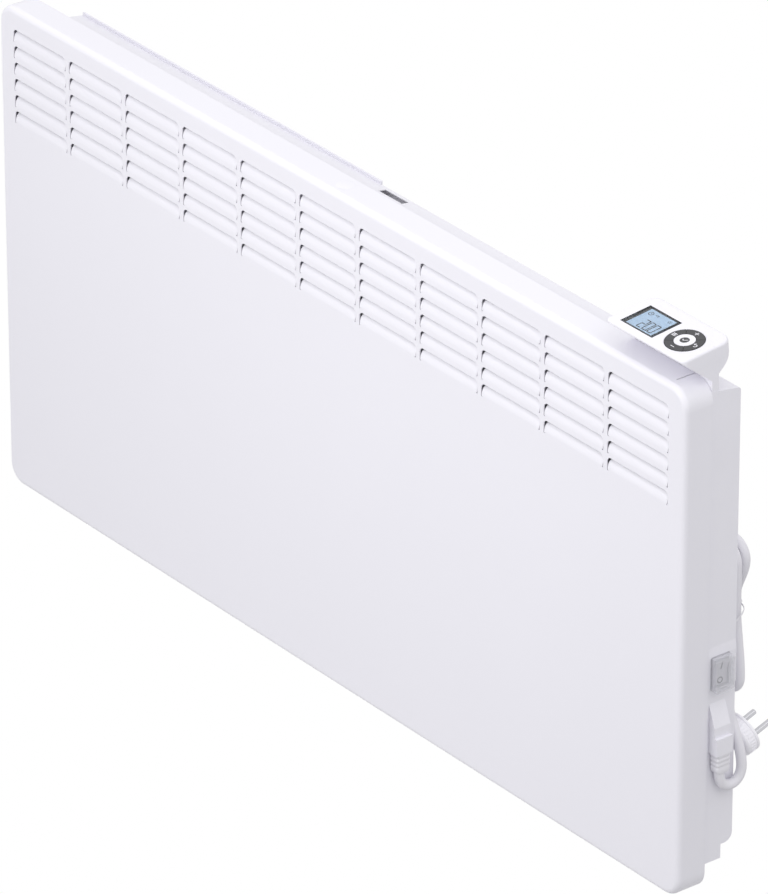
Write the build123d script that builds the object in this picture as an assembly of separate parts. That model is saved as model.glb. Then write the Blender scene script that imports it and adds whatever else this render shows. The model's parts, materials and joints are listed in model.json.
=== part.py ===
from build123d import *
import os
from math import asin, atan2, cos, degrees, hypot, pi, radians, sin, tan

# Wall panel convector heater, millimetres.
# The wall is the plane Y = 0 and the heater's front faces -Y, so every Y is negative.
# X runs to the viewer's right from the middle of the panel, Z is up from the middle
# of the wall bracket's four screw holes.

# ---------------------------------------------------------------- driving sizes
PANEL_WIDTH = 894.0
PANEL_HEIGHT = 450.0
SHELL_DEPTH = 27.0          # flanges of the front casing
REAR_DEPTH = 29.0           # rear casing behind the front casing
WALL_GAP = 44.0             # between the rear casing and the wall
MOUNT_HEIGHT = 225.0        # screw pattern's middle above the panel's lower edge
SHEET = 1.0                 # front casing
REAR_SHEET = 0.8            # rear casing, brackets and inner sheets
PLASTIC = 2.2               # moulded walls
CORNER_RADIUS = 18.0        # front casing seen from the front
EDGE_RADIUS = 5.0           # front face into the flanges
RUN_CLEAR = 0.3             # between pieces that move
SEAT_CLEAR = 0.05           # between pieces that are seated in each other

# louvres of the warm air outlet
LOUVRE_COLUMNS = 11
LOUVRE_ROWS = 6
LOUVRE_PITCH_X = 78.0
LOUVRE_PITCH_Z = 15.0
LOUVRE_LENGTH = 73.3
LOUVRE_HEIGHT = 11.0
LOUVRE_DROP = 18.4          # panel's upper edge to the first louvre
LOUVRE_CORNER = 4.5
FIN_DEPTH = 5.6             # how far a louvre's upper edge is pressed in
FIN_GAP = 0.7
RELIEF_RADIUS = 0.9
INLET_SLOT_WIDTH = 7.0      # air inlet slots in the lower flange
INLET_SLOT_OFFSET = 13.5
SEAM_INSET = 22.0           # flange joint from the panel's right edge
SEAM_WIDTH = 1.2
SEAM_START = 8.5

# rear casing
REAR_LEFT_INSET = 44.0      # its left end inside the panel's left edge
REAR_RIGHT_INSET = 2.0      # the electronics housing inside the panel's right edge
HOUSING_WIDTH = 96.0
HOUSING_GAP = 0.2           # joint between the rear casing and the housing
REAR_TOP_DROP = 8.5         # rear casing under the panel's upper edge, at its front
TOP_FALL = 5.0              # fall of its upper side to the back
REAR_BOTTOM = 36.0          # its lower side above the panel's lower edge
STEP_BOTTOM = 23.5          # lower step above the panel's lower edge
STEP_DEPTH = 17.5
REAR_CORNER = 8.0
LIP_HEIGHT = 3.0            # raised hem on the left half of the rear upper edge
LIP_THICK = 1.6
RELEASE_X = 26.0            # opening over the bracket catch
RELEASE_LENGTH = 30.0
RELEASE_DEPTH = 7.0
RELEASE_INSET = 9.0         # opening's middle in front of the rear face
TAB_HEIGHT = 9.0            # sheet tabs and feet
SCREW_INSET = 5.0           # casing screws in front of the seam
GRILLE_THICK = 1.2
GRILLE_SLOT = 5.0
GRILLE_SLOTS = 20

# catch that locks the casing on its bracket
CATCH_WIDTH = 22.0
CATCH_THICK = 4.0
CATCH_TRAVEL = 10.0
CATCH_TOP_GAP = 8.0         # under the casing's upper wall
NOSE_WIDTH = 12.0
NOSE_HEIGHT = 6.0
NOSE_REACH = 6.0            # out of the rear wall
GUIDE_WALL = 1.5
GUIDE_LIP = 3.0

# wall bracket
HOLES_X = 400.0
HOLES_Z = 240.0
HOLE_RADIUS = 3.0
BRACKET_SHEET = 1.5
LEG_WIDTH = 34.0
BRACKET_MARGIN = 16.0       # sheet beyond the screw holes, up and down
HOOK_REACH = 7.0            # inside the rear casing
HOOK_RISE = 8.0
HOOK_HEIGHT = 10.0
HOOK_LIP = 4.0
SLOT_CLEAR = 0.6

# control head
HEAD_WIDTH = 94.5
HEAD_FRONT = -1.5           # from the panel's front face, forward is negative
HEAD_BACK = 48.0
HEAD_RISE = 25.8            # its front edge above the panel's upper edge
HEAD_TILT = 5.8             # degrees, rising to the back
HEAD_SLAB = 12.0            # upper shell's height
HEAD_CORNER = 11.0
HEAD_FRONT_CORNER = 5.0
HEAD_EDGE = 2.0
NECK_DEPTH = 6.6
NECK_FLARE_RISE = 5.0       # neck's back edge up to the flare, over the panel
HEAD_WALL = 2.0
HEAD_FLOOR = 2.0            # upper shell's face
WINDOW_WIDTH = 38.0
WINDOW_DEPTH = 30.4
WINDOW_LEFT = 10.6          # from the head's left end
WINDOW_FRONT = 6.3          # from the head's front edge
WINDOW_BORDERS = (2.0, 3.3, 2.0, 0.9)       # left, right, front and back of the display
WINDOW_RIM = 0.4
WINDOW_THICK = 0.6
MASK_THICK = 0.2
RING_RADIUS = 15.8
RING_BORE = 8.5
RING_FROM_RIGHT = 24.6
RING_FROM_FRONT = 21.4
KEY_GAP = 0.4
KEY_PROUD = 0.5
KEY_FLANGE = 0.8            # rim that keeps a key behind the face
KEY_OVERLAP = 0.8
KEY_TRAVEL = 0.6
INLAY_RADIUS = 3.9
INLAY_DEPTH = 0.4
HEAD_STEP = 0.3             # lower shell inside the upper one's outline
MAT_THICK = 0.65
BOARD_THICK = 1.6
BOSS_HEIGHT = 1.95
HEAD_POST_INSET = 3.6
BOSS_RADIUS = 2.2
LIP_FRONT = 2.4             # upright front edge of the head

# switch
SWITCH_WIDTH = 17.5
SWITCH_HEIGHT = 28.0
SWITCH_CORNER = 1.2
SWITCH_RIM = 1.6
SWITCH_FLANGE = 1.4
SWITCH_BACK = 39.7          # middle behind the front face
SWITCH_Z = 193.7            # middle above the panel's lower edge
SWITCH_BODY_DEPTH = 18.0
SWITCH_WALL = 0.8
ROCKER_ANGLE = 16.0         # degrees between the two positions
ROCKER_DEPTH = 5.0          # pressed half's face out of the pivot
PIVOT_DEPTH = 4.0           # pivot inside the housing's side
ROCKER_PIN = 1.5
PAD_PROUD = 1.0             # raised field of the housing round the switch
PAD_SLOPE = 8.0
COVER_PROUD = 8.5           # splash cap out of the housing's side
COVER_WALL = 0.8
COVER_CLEAR = 0.2

# cord inlet and cord
CORD_DIAMETER = 8.4
INLET_TOP = 167.0           # above the panel's lower edge
INLET_SHOULDER = 148.0
INLET_LEDGE = 139.0
INLET_BOTTOM = 124.0
INLET_PROUD = 10.4          # ledge out of the housing's side
SHOULDER_PROUD = 7.4
INLET_START = 30.0          # hood's front side behind the front face
INLET_DEPTH = 16.0
INLET_WALL = 1.2
MAINS_DROP = 5.0            # way of the cores into the housing, under the ledge
MAINS_HOLE = 3.6
CLAMP_BOTTOM = 107.0
CLAMP_BACK = 37.8           # its middle behind the front face
CLAMP_DEPTH = 14.5
CLAMP_THICK = 10.1
CLAMP_DRAW = 1.2            # narrower at its lower end, on each side
CLAMP_CORNER = 2.5
CORD_HOLD = 4.5             # cord's jacket inside the clamp
HOOD_GRIP = 7.0             # screws' hold in the hood
CORD_OUT = 5.4              # cord's middle out of the housing's side
CORD_BACK = 36.5            # cord's middle behind the front face

# hank of cord
HANK_X = 405.0
# each run as wound: X off the hank's middle at its lower end, waist and upper end,
# and the layer where it starts and ends
HANK_RUNS = ((23.5, 19.0, 22.0, 0, 0), (2.6, -2.0, -4.0, 0, 1), (27.6, 21.2, 21.4, 1, 1),
             (-9.0, -3.0, -5.0, 1, 2), (15.5, 9.5, 20.5, 2, 2), (-18.5, -17.0, -7.7, 2, 2))
HANK_LAYER = 9.3
HANK_LOW = 171.0            # lower ends of the runs above the panel's lower edge
HANK_WAIST = 233.0
HANK_HIGH = 269.0
HANK_OFF_WALL = 1.8         # its cord off the rear casing
TIE_THICK = 0.8
TIE_HEIGHT = 1.6
TIE_LEAN = 35.0             # degrees, rising to the back
TIE_DROP = 4.0              # its middle under the hank's waist
TIE_SLACK = 1.0
TIE_CORNER = 5.0

# plug
PLUG_X = 429.5
PLUG_PITCH = 19.0
PLUG_RADIUS = 17.5
PLUG_THICK = 13.5
PLUG_ROUND = 4.0
PLUG_LEAN = 20.0            # degrees, pins up from level
PLUG_TURN = 45.0            # degrees, nozzle from upright towards the panel's middle
PLUG_FACE_BACK = 80.7       # face's middle behind the front face
PLUG_FACE_Z = 119.4         # and above the panel's lower edge
PIN_RADIUS = 2.4
PIN_LENGTH = 19.0
PIN_STEM = 1.8              # in the moulding
NOZZLE_LENGTH = 6.0
NOZZLE_RADIUS = 5.6

# heating element
ELEMENT_INSET = 31.0        # its left end inside the rear casing's
ELEMENT_GAP = 32.0          # its right end to the partition
ELEMENT_Z = 112.0
ELEMENT_HEIGHT = 62.0
ELEMENT_DEPTH = 24.0
ELEMENT_BACK = 31.0
FIN_THICK = 2.0
FIN_PAIRS = 4
TUBE_RADIUS = 4.0
CORE_RADIUS = 8.0
TUBE_END = 22.0
BUSH_RADIUS = 7.0
BUSH_LENGTH = 6.0
BRACKET_INSET = 2.0
SHIELD_STANDOFF = 9.0
SHIELD_TOP = 315.0
SHIELD_BOTTOM = 60.0
GROMMET_RADIUS = 4.0
PARTITION_INSET = 1.0       # from the housing's left end, between two columns of louvres
CUTOUT_RADIUS = 7.5
CUTOUT_RISE = 62.0          # over the element's middle
WIRE_RADIUS = 1.3
SCREW_RADIUS = 1.9
SCREW_HEAD = 3.4
SCREW_HEAD_HEIGHT = 2.0
SMALL_SCREW = 1.1

# electronics
BOARD_LEFT = 10.0           # from the housing's left end
BOARD_WIDTH = 62.0
BOARD_LOW = 205.0           # above the panel's lower edge
BOARD_HIGH = 335.0
POST_HEIGHT = 6.0
POST_RADIUS = 3.0
POST_INSET = 5.0
RELAY_SIZE = (29.0, 16.0, 13.0)
SINK_SIZE = (24.0, 14.0, 40.0)
SINK_FINS = 5
CAPACITOR_RADIUS = 6.5
CAPACITOR_LENGTH = 17.0
TERMINAL_SIZE = (24.0, 12.0, 16.0)
TERMINAL_LEFT = 50.0        # from the housing's left end
TERMINAL_Z = 128.0
SENSOR_RADIUS = 2.5
SENSOR_LENGTH = 14.0
SENSOR_LEFT = 30.0
RIBBON_WIDTH = 12.0
RIBBON_THICK = 0.8

# ---------------------------------------------------------------- places
FRONT = -(WALL_GAP + REAR_DEPTH + SHELL_DEPTH)
SEAM = FRONT + SHELL_DEPTH
BACK = -WALL_GAP
BOTTOM = -MOUNT_HEIGHT
TOP = BOTTOM + PANEL_HEIGHT
RIGHT = PANEL_WIDTH / 2
SIDE = RIGHT - REAR_RIGHT_INSET
HOUSING_LEFT = SIDE - HOUSING_WIDTH
REAR_LEFT = REAR_LEFT_INSET - RIGHT
REAR_RIGHT = HOUSING_LEFT - HOUSING_GAP
REAR_FLOOR = BOTTOM + REAR_BOTTOM
STEP_FLOOR = BOTTOM + STEP_BOTTOM
STEP_BACK = SEAM + STEP_DEPTH
REAR_TOP = TOP - REAR_TOP_DROP
REAR_TOP_BACK = REAR_TOP - TOP_FALL


# ---------------------------------------------------------------- drawing helpers
def block(x, y, z):
    """A box between (low, high) pairs along X, Y and Z."""
    middle = Pos((x[0] + x[1]) / 2, (y[0] + y[1]) / 2, (z[0] + z[1]) / 2)
    return middle * Box(x[1] - x[0], y[1] - y[0], z[1] - z[0])


def outline(points, radii=None):
    """A flat closed outline, with a radius at each corner or none."""
    if radii is None:
        return make_face(Polyline(*points, close=True))
    return make_face(FilletPolyline(*points, radius=radii, close=True))


def slab_x(sketch, low, high):
    """A sketch drawn in (Y, Z), made solid from X = low to high."""
    return extrude(Plane.YZ.offset(low) * sketch, amount=high - low)


def slab_y(sketch, low, high):
    """A sketch drawn in (X, Z), made solid from Y = low to high."""
    return extrude(Plane.XZ.offset(-high) * sketch, amount=high - low)


def slab_z(sketch, low, high):
    """A sketch drawn in (X, Y), made solid from Z = low to high."""
    return extrude(Plane.XY.offset(low) * sketch, amount=high - low)


def rod(start, end, radius):
    """A round bar between two points."""
    axis = Vector(*end) - Vector(*start)
    return extrude(Plane(origin=start, z_dir=axis) * Circle(radius), amount=axis.length)


def tube_along(points, radius, radii):
    """A round tube along straight runs joined by arcs."""
    path = FilletPolyline(*points, radius=radii)
    return sweep(Plane(origin=path @ 0, z_dir=path % 0) * Circle(radius), path=path)


def corner_radii(points, share=0.45):
    """For each corner, the share of its shorter run over the tangent of half its turn."""
    radii = []
    for before, here, after in zip(points, points[1:], points[2:]):
        arrive = Vector(*here) - Vector(*before)
        leave = Vector(*after) - Vector(*here)
        half_turn = radians(arrive.get_angle(leave)) / 2
        radii.append(share * min(arrive.length, leave.length) / tan(half_turn))
    return radii


def screw(head, direction, length):
    """A pan head screw whose head stands on the surface at a point."""
    at = Plane(origin=head, z_dir=direction)
    shank = extrude(at * Circle(SCREW_RADIUS), amount=length)
    cap = extrude(at * Circle(SCREW_HEAD), amount=-SCREW_HEAD_HEIGHT)
    return shank + cap


# ---------------------------------------------------------------- front casing
def rounded_tray(grow, front, back):
    """The front casing's block, drawn in by -grow, with its soft front edge."""
    width = PANEL_WIDTH + 2 * grow
    height = PANEL_HEIGHT + 2 * grow
    middle = Pos(0, (TOP + BOTTOM) / 2)
    body = slab_y(middle * RectangleRounded(width, height, CORNER_RADIUS + grow), front, back)
    rim = body.faces().sort_by(Axis.Y)[0].edges()
    return fillet(rim, EDGE_RADIUS + grow)


def louvre_places():
    """Middle in X and lower edge in Z of every louvre."""
    places = []
    for column in range(LOUVRE_COLUMNS):
        x = (column - (LOUVRE_COLUMNS - 1) / 2) * LOUVRE_PITCH_X
        for row in range(LOUVRE_ROWS):
            places.append((x, TOP - LOUVRE_DROP - LOUVRE_HEIGHT - row * LOUVRE_PITCH_Z))
    return places


def louvre_cut():
    """The opening of one louvre, its lower edge at Z = 0."""
    half = LOUVRE_LENGTH / 2
    points = [(-half, 0), (half, 0), (half, LOUVRE_HEIGHT), (-half, LOUVRE_HEIGHT)]
    shape = outline(points, [0, 0, LOUVRE_CORNER, LOUVRE_CORNER])
    for side in (-half, half):
        shape += Pos(side - RELIEF_RADIUS * side / half, 0) * Circle(RELIEF_RADIUS)
    return slab_y(shape, FRONT - SHEET, FRONT + 2 * SHEET)


def louvre_fin():
    """The curved fin of one louvre, hinged on its lower edge at Z = 0."""
    rise = LOUVRE_HEIGHT - FIN_GAP
    radius = (FIN_DEPTH ** 2 + rise ** 2) / (2 * FIN_DEPTH)
    sweep_angle = degrees(asin(rise / radius))
    centre = (FRONT + radius, 0)
    outer = CenterArc(centre, radius, 180, -sweep_angle)
    inner = CenterArc(centre, radius - SHEET, 180, -sweep_angle)
    curve = make_face([outer, inner, Line(outer @ 0, inner @ 0), Line(outer @ 1, inner @ 1)])
    half = LOUVRE_LENGTH / 2 - FIN_GAP
    points = [(-half, 0), (half, 0), (half, rise), (-half, rise)]
    face = outline(points, [0, 0, LOUVRE_CORNER, LOUVRE_CORNER])
    return slab_x(curve, -half, half) & slab_y(face, FRONT, SEAM)


def casing_screw_places():
    """Middle of each casing screw in the lower flange."""
    step = (REAR_RIGHT - REAR_LEFT) / 4
    y = SEAM - SCREW_INSET
    return [(REAR_LEFT + step * k, y) for k in (0.5, 2, 3.5)] + [(SIDE - HOUSING_WIDTH / 2, y)]


def countersunk(x, y, grow):
    """A countersunk screw whose head is flush with the lower flange."""
    head = Pos(x, y, BOTTOM + SHEET / 2) * Cone(SCREW_HEAD + grow, SCREW_RADIUS + grow, SHEET)
    shank = slab_z(Pos(x, y) * Circle(SCREW_RADIUS + grow), BOTTOM + SHEET / 2, BOTTOM + TAB_HEIGHT)
    return head + shank


def front_casing():
    shell = rounded_tray(0, FRONT, SEAM) - rounded_tray(-SHEET, FRONT + SHEET, SEAM + SHEET)
    cut = louvre_cut()
    fin = louvre_fin()
    shell -= [Pos(x, 0, z) * cut for x, z in louvre_places()]
    shell += [Pos(x, 0, z) * fin for x, z in louvre_places()]
    inlet = SlotOverall(LOUVRE_LENGTH, INLET_SLOT_WIDTH)
    slot = slab_z(Pos(0, FRONT + INLET_SLOT_OFFSET) * inlet, BOTTOM - SHEET, BOTTOM + 2 * SHEET)
    for column in range(LOUVRE_COLUMNS):
        shell -= Pos((column - (LOUVRE_COLUMNS - 1) / 2) * LOUVRE_PITCH_X, 0, 0) * slot
    seam = RIGHT - SEAM_INSET
    shell -= block((seam - SEAM_WIDTH / 2, seam + SEAM_WIDTH / 2),
                   (FRONT + SEAM_START, SEAM), (TOP - 2 * SHEET, TOP + SHEET))
    for x, y in casing_screw_places():
        shell -= countersunk(x, y, SEAT_CLEAR)
    return shell


def casing_screws():
    return Compound([countersunk(x, y, 0) for x, y in casing_screw_places()])


# ---------------------------------------------------------------- rear casing and housing
def rear_top_at(y):
    """Height of the rear casing's upper side at a depth."""
    return REAR_TOP - TOP_FALL * (y - SEAM) / REAR_DEPTH


def rear_section(wall):
    """Side outline of the rear casing, drawn in by a wall and open to the front."""
    back = BACK - wall
    step = STEP_BACK - wall
    points = [(SEAM, STEP_FLOOR + wall), (step, STEP_FLOOR + wall), (step, REAR_FLOOR + wall),
              (back, REAR_FLOOR + wall), (back, rear_top_at(back) - wall),
              (SEAM, REAR_TOP - wall)]
    corner = REAR_CORNER - wall
    return outline(points, [0, 0, 0, corner, EDGE_RADIUS / 2 - wall, 0])


def rear_tray(left, right, wall):
    """A closed-ended tray with the rear casing's section."""
    outer = slab_x(rear_section(0), left, right)
    return outer - slab_x(rear_section(wall), left + wall, right - wall)


def rear_flange(left, right, thick, opening_left, opening_right, wall):
    """The flat flange that closes the front casing round the tray's mouth."""
    inside = SHEET + RUN_CLEAR
    shape = RectangleRounded(PANEL_WIDTH - 2 * inside, PANEL_HEIGHT - 2 * inside,
                             CORNER_RADIUS - inside)
    plate = slab_y(Pos(0, (TOP + BOTTOM) / 2) * shape, SEAM - thick, SEAM)
    plate &= block((left, right), (SEAM - thick, SEAM), (BOTTOM, TOP))
    return plate - block((opening_left, opening_right), (SEAM - 2 * thick, SEAM + thick),
                         (STEP_FLOOR + wall, REAR_TOP - wall))


def screw_tab(x, y):
    """A tab on the lower flange that a casing screw goes into."""
    low = BOTTOM + SHEET
    tab = block((x - TAB_HEIGHT, x + TAB_HEIGHT), (SEAM - TAB_HEIGHT, SEAM), (low, low + SHEET))
    web = block((x - TAB_HEIGHT, x + TAB_HEIGHT), (SEAM - REAR_SHEET, SEAM), (low, low + TAB_HEIGHT))
    return tab + web - countersunk(x, y, SEAT_CLEAR)


def bracket_legs():
    """Middle in X of the wall bracket's ribs."""
    half = (LEG_WIDTH - BRACKET_SHEET) / 2
    return [leg * HOLES_X / 2 + rib * half for leg in (-1, 1) for rib in (-1, 1)]


def hook_tops():
    """Upper side of the arm of the lower and upper hooks."""
    return [-HOLES_Z / 2 + HOOK_HEIGHT, HOLES_Z / 2]


RAIL_TOP = HOLES_Z / 2 + BRACKET_MARGIN
NOSE_TOP = RAIL_TOP - BRACKET_SHEET - RUN_CLEAR
NOSE_LOW = NOSE_TOP - NOSE_HEIGHT
CATCH_BACK = BACK - REAR_SHEET - RUN_CLEAR
CATCH_FRONT = CATCH_BACK - CATCH_THICK
CATCH_TOP = REAR_TOP_BACK - REAR_SHEET - CATCH_TOP_GAP


def catch_guide():
    """Two lipped rails on the rear wall and a stop above the catch's shoulders."""
    half = CATCH_WIDTH / 2 + RUN_CLEAR
    wall = BACK - REAR_SHEET
    front = CATCH_FRONT - RUN_CLEAR
    low = NOSE_LOW - CATCH_TRAVEL
    guide = None
    for side in (-1, 1):
        rail = sorted((RELEASE_X + side * half, RELEASE_X + side * (half + GUIDE_WALL)))
        lip = sorted((RELEASE_X + side * (half - GUIDE_LIP), RELEASE_X + side * (half + GUIDE_WALL)))
        piece = block(rail, (front - GUIDE_WALL, wall), (low, CATCH_TOP))
        piece += block(lip, (front - GUIDE_WALL, front), (low, CATCH_TOP))
        guide = piece if guide is None else guide + piece
    return guide


def rear_casing():
    body = rear_tray(REAR_LEFT, REAR_RIGHT, REAR_SHEET)
    body += rear_flange(-PANEL_WIDTH, REAR_RIGHT, REAR_SHEET,
                        REAR_LEFT + REAR_SHEET, REAR_RIGHT - REAR_SHEET, REAR_SHEET)
    lip_low = REAR_TOP_BACK - EDGE_RADIUS
    body += block((REAR_LEFT, 0), (BACK - LIP_THICK, BACK), (lip_low, REAR_TOP_BACK + LIP_HEIGHT))
    for x, y in casing_screw_places()[:-1]:
        body += screw_tab(x, y)
    release = (RELEASE_X - RELEASE_LENGTH / 2, RELEASE_X + RELEASE_LENGTH / 2)
    middle = BACK - RELEASE_INSET
    body -= block(release, (middle - RELEASE_DEPTH / 2, middle + RELEASE_DEPTH / 2),
                  (REAR_TOP_BACK - EDGE_RADIUS, TOP))
    body += catch_guide()
    nose = NOSE_WIDTH / 2 + SLOT_CLEAR
    body -= block((RELEASE_X - nose, RELEASE_X + nose), (BACK - 2 * REAR_SHEET, BACK + REAR_SHEET),
                  (NOSE_LOW - CATCH_TRAVEL - SLOT_CLEAR, NOSE_TOP + SLOT_CLEAR))
    slot = BRACKET_SHEET / 2 + SLOT_CLEAR
    for x in bracket_legs():
        for z in hook_tops():
            low = z - HOOK_HEIGHT - HOOK_RISE - SLOT_CLEAR
            body -= block((x - slot, x + slot), (BACK - 2 * REAR_SHEET, BACK + REAR_SHEET), (low, z))
    body -= block((REAR_LEFT + 2 * GRILLE_THICK, REAR_RIGHT - 2 * GRILLE_THICK),
                  (SEAM + 2 * GRILLE_THICK, STEP_BACK - 2 * GRILLE_THICK),
                  (STEP_FLOOR - REAR_SHEET, STEP_FLOOR + 2 * REAR_SHEET))
    return body


def inlet_grille():
    """The slotted plate on the rear casing's lower step."""
    left = REAR_LEFT + REAR_SHEET + SEAT_CLEAR
    right = REAR_RIGHT - REAR_SHEET - SEAT_CLEAR
    front = SEAM
    back = STEP_BACK - REAR_SHEET - SEAT_CLEAR
    low = STEP_FLOOR + REAR_SHEET
    plate = block((left, right), (front, back), (low, low + GRILLE_THICK))
    pitch = (right - left) / GRILLE_SLOTS
    length = pitch - 2 * GRILLE_SLOT
    for row in (1, 2):
        y = front + (back - front) * row / 3
        for k in range(GRILLE_SLOTS):
            slot = Pos(left + pitch * (k + 0.5), y) * SlotOverall(length, GRILLE_SLOT)
            plate -= slab_z(slot, low - GRILLE_THICK, low + 2 * GRILLE_THICK)
    return plate


# ---------------------------------------------------------------- bracket and catch
def wall_bracket():
    half_x = (HOLES_X + LEG_WIDTH) / 2
    plate = block((-half_x, half_x), (-BRACKET_SHEET, 0), (-RAIL_TOP, RAIL_TOP))
    window_x = (HOLES_X - LEG_WIDTH) / 2
    window_z = HOLES_Z / 2 - BRACKET_MARGIN
    plate -= block((-window_x, window_x), (-2 * BRACKET_SHEET, BRACKET_SHEET), (-window_z, window_z))
    front = BACK + RUN_CLEAR
    inside = BACK - REAR_SHEET
    for x in bracket_legs():
        span = (x - BRACKET_SHEET / 2, x + BRACKET_SHEET / 2)
        plate += block(span, (front, 0), (-RAIL_TOP, RAIL_TOP))
        for z in hook_tops():
            arm = block(span, (inside - HOOK_REACH, front), (z - HOOK_HEIGHT, z))
            lip = block(span, (inside - HOOK_REACH, inside - HOOK_REACH + HOOK_LIP),
                        (z - HOOK_HEIGHT, z + HOOK_RISE - SLOT_CLEAR))
            plate += arm + lip
    tab = (RELEASE_X - NOSE_WIDTH / 2, RELEASE_X + NOSE_WIDTH / 2)
    plate += block(tab, (front, 0), (RAIL_TOP - BRACKET_SHEET, RAIL_TOP))
    for x in (-HOLES_X / 2, HOLES_X / 2):
        for z in (-HOLES_Z / 2, HOLES_Z / 2):
            plate -= slab_y(Pos(x, z) * Circle(HOLE_RADIUS), -2 * BRACKET_SHEET, BRACKET_SHEET)
    return plate


def bracket_catch():
    """The sprung slider that a screwdriver presses down through the release opening."""
    half = CATCH_WIDTH / 2
    body = block((RELEASE_X - half, RELEASE_X + half), (CATCH_FRONT, CATCH_BACK),
                 (NOSE_LOW, CATCH_TOP))
    head = block((RELEASE_X - half + GUIDE_LIP, RELEASE_X + half - GUIDE_LIP),
                 (CATCH_FRONT - CATCH_THICK, CATCH_BACK), (CATCH_TOP - CATCH_THICK, CATCH_TOP))
    nose = block((RELEASE_X - NOSE_WIDTH / 2, RELEASE_X + NOSE_WIDTH / 2),
                 (CATCH_BACK, BACK + NOSE_REACH), (NOSE_LOW, NOSE_TOP))
    return body + head + nose


# ---------------------------------------------------------------- electronics housing
SWITCH_MIDDLE = BOTTOM + SWITCH_Z
SWITCH_Y = FRONT + SWITCH_BACK
PAD_FACE = SIDE + PAD_PROUD
SWITCH_FACE = PAD_FACE + COVER_WALL     # the cap's foot is held under the switch's rim
OPEN_Y = SWITCH_WIDTH / 2 - SWITCH_RIM
OPEN_Z = SWITCH_HEIGHT / 2 - SWITCH_RIM
CORD_X = SIDE + CORD_OUT
CORD_Y = FRONT + CORD_BACK
BOARD_BACK = BACK - PLASTIC - POST_HEIGHT
BOARD_FRONT = BOARD_BACK - BOARD_THICK


def switch_cutout(grow):
    """The switch body's outline through the housing's side, as a solid."""
    half_y = OPEN_Y + SWITCH_WALL + grow
    half_z = OPEN_Z + SWITCH_WALL + grow
    return block((PAD_FACE - SWITCH_BODY_DEPTH, SWITCH_FACE), (SWITCH_Y - half_y, SWITCH_Y + half_y),
                 (SWITCH_MIDDLE - half_z, SWITCH_MIDDLE + half_z))


def switch_plan(grow, corner):
    """The switch's rim seen from the side, grown all round."""
    plan = RectangleRounded(SWITCH_WIDTH + 2 * grow, SWITCH_HEIGHT + 2 * grow, corner)
    return Pos(SWITCH_Y, SWITCH_MIDDLE) * plan


def switch_pad():
    """Raised flat field for the switch, which also fills the rounded rear corner."""
    low = SWITCH_MIDDLE - SWITCH_HEIGHT / 2
    high = SWITCH_MIDDLE + SWITCH_HEIGHT / 2 + PAD_PROUD
    inner = SIDE - REAR_CORNER
    points = [(inner, low), (SIDE, low - PAD_PROUD), (PAD_FACE, low), (PAD_FACE, high),
              (SIDE, high + PAD_SLOPE), (inner, high + 2 * PAD_SLOPE)]
    return slab_y(outline(points), SEAM + RUN_CLEAR, BACK)


def board_posts():
    """Middle in X and Z of the power board's four posts."""
    left = HOUSING_LEFT + BOARD_LEFT + POST_INSET
    right = HOUSING_LEFT + BOARD_LEFT + BOARD_WIDTH - POST_INSET
    low = BOTTOM + BOARD_LOW + POST_INSET
    high = BOTTOM + BOARD_HIGH - POST_INSET
    return [(x, z) for x in (left, right) for z in (low, high)]


def neck_y():
    """Front and back of the head's neck."""
    return SEAM + RUN_CLEAR, SEAM + RUN_CLEAR + NECK_DEPTH


def cable_way(low, high):
    """The ribbon's way down through the neck and the housing's upper wall."""
    front, back = neck_y()
    middle = HOUSING_LEFT + HOUSING_WIDTH / 2
    half = RIBBON_WIDTH / 2 + HEAD_WALL
    return block((middle - half, middle + half), (front + HEAD_WALL, back - HEAD_WALL), (low, high))


def terminal_place():
    """Low X, low Z of the terminal block."""
    return HOUSING_LEFT + TERMINAL_LEFT, BOTTOM + TERMINAL_Z


def electronics_housing():
    inner = slab_x(rear_section(PLASTIC), HOUSING_LEFT + PLASTIC, SIDE - PLASTIC)
    body = slab_x(rear_section(0), HOUSING_LEFT, SIDE) + switch_pad() - inner
    body += rear_flange(HOUSING_LEFT, PANEL_WIDTH, PLASTIC, HOUSING_LEFT + PLASTIC,
                        SIDE - PLASTIC, PLASTIC)
    body += screw_tab(*casing_screw_places()[-1])
    rear = BACK - PLASTIC
    for x, z in board_posts():
        post = slab_y(Pos(x, z) * Circle(POST_RADIUS), BOARD_BACK, rear)
        pilot = slab_y(Pos(x, z) * Circle(SMALL_SCREW + SEAT_CLEAR), BOARD_BACK, rear)
        body += post - pilot
    body -= switch_cutout(SEAT_CLEAR)
    body -= cable_way(REAR_TOP_BACK - 2 * PLASTIC, TOP)
    body -= rod((SIDE - 2 * PLASTIC, CORD_Y, MAINS_LEVEL), (SIDE + PLASTIC, CORD_Y, MAINS_LEVEL),
                MAINS_HOLE)
    for y, z in inlet_screws():
        body -= rod((SIDE - 2 * PLASTIC, y, z), (SIDE, y, z), SCREW_RADIUS + SEAT_CLEAR)
    x, y = sensor_place()
    body -= rod((x, y, STEP_FLOOR - PLASTIC), (x, y, STEP_FLOOR + 2 * PLASTIC),
                SENSOR_RADIUS + SEAT_CLEAR)
    return body


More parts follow.
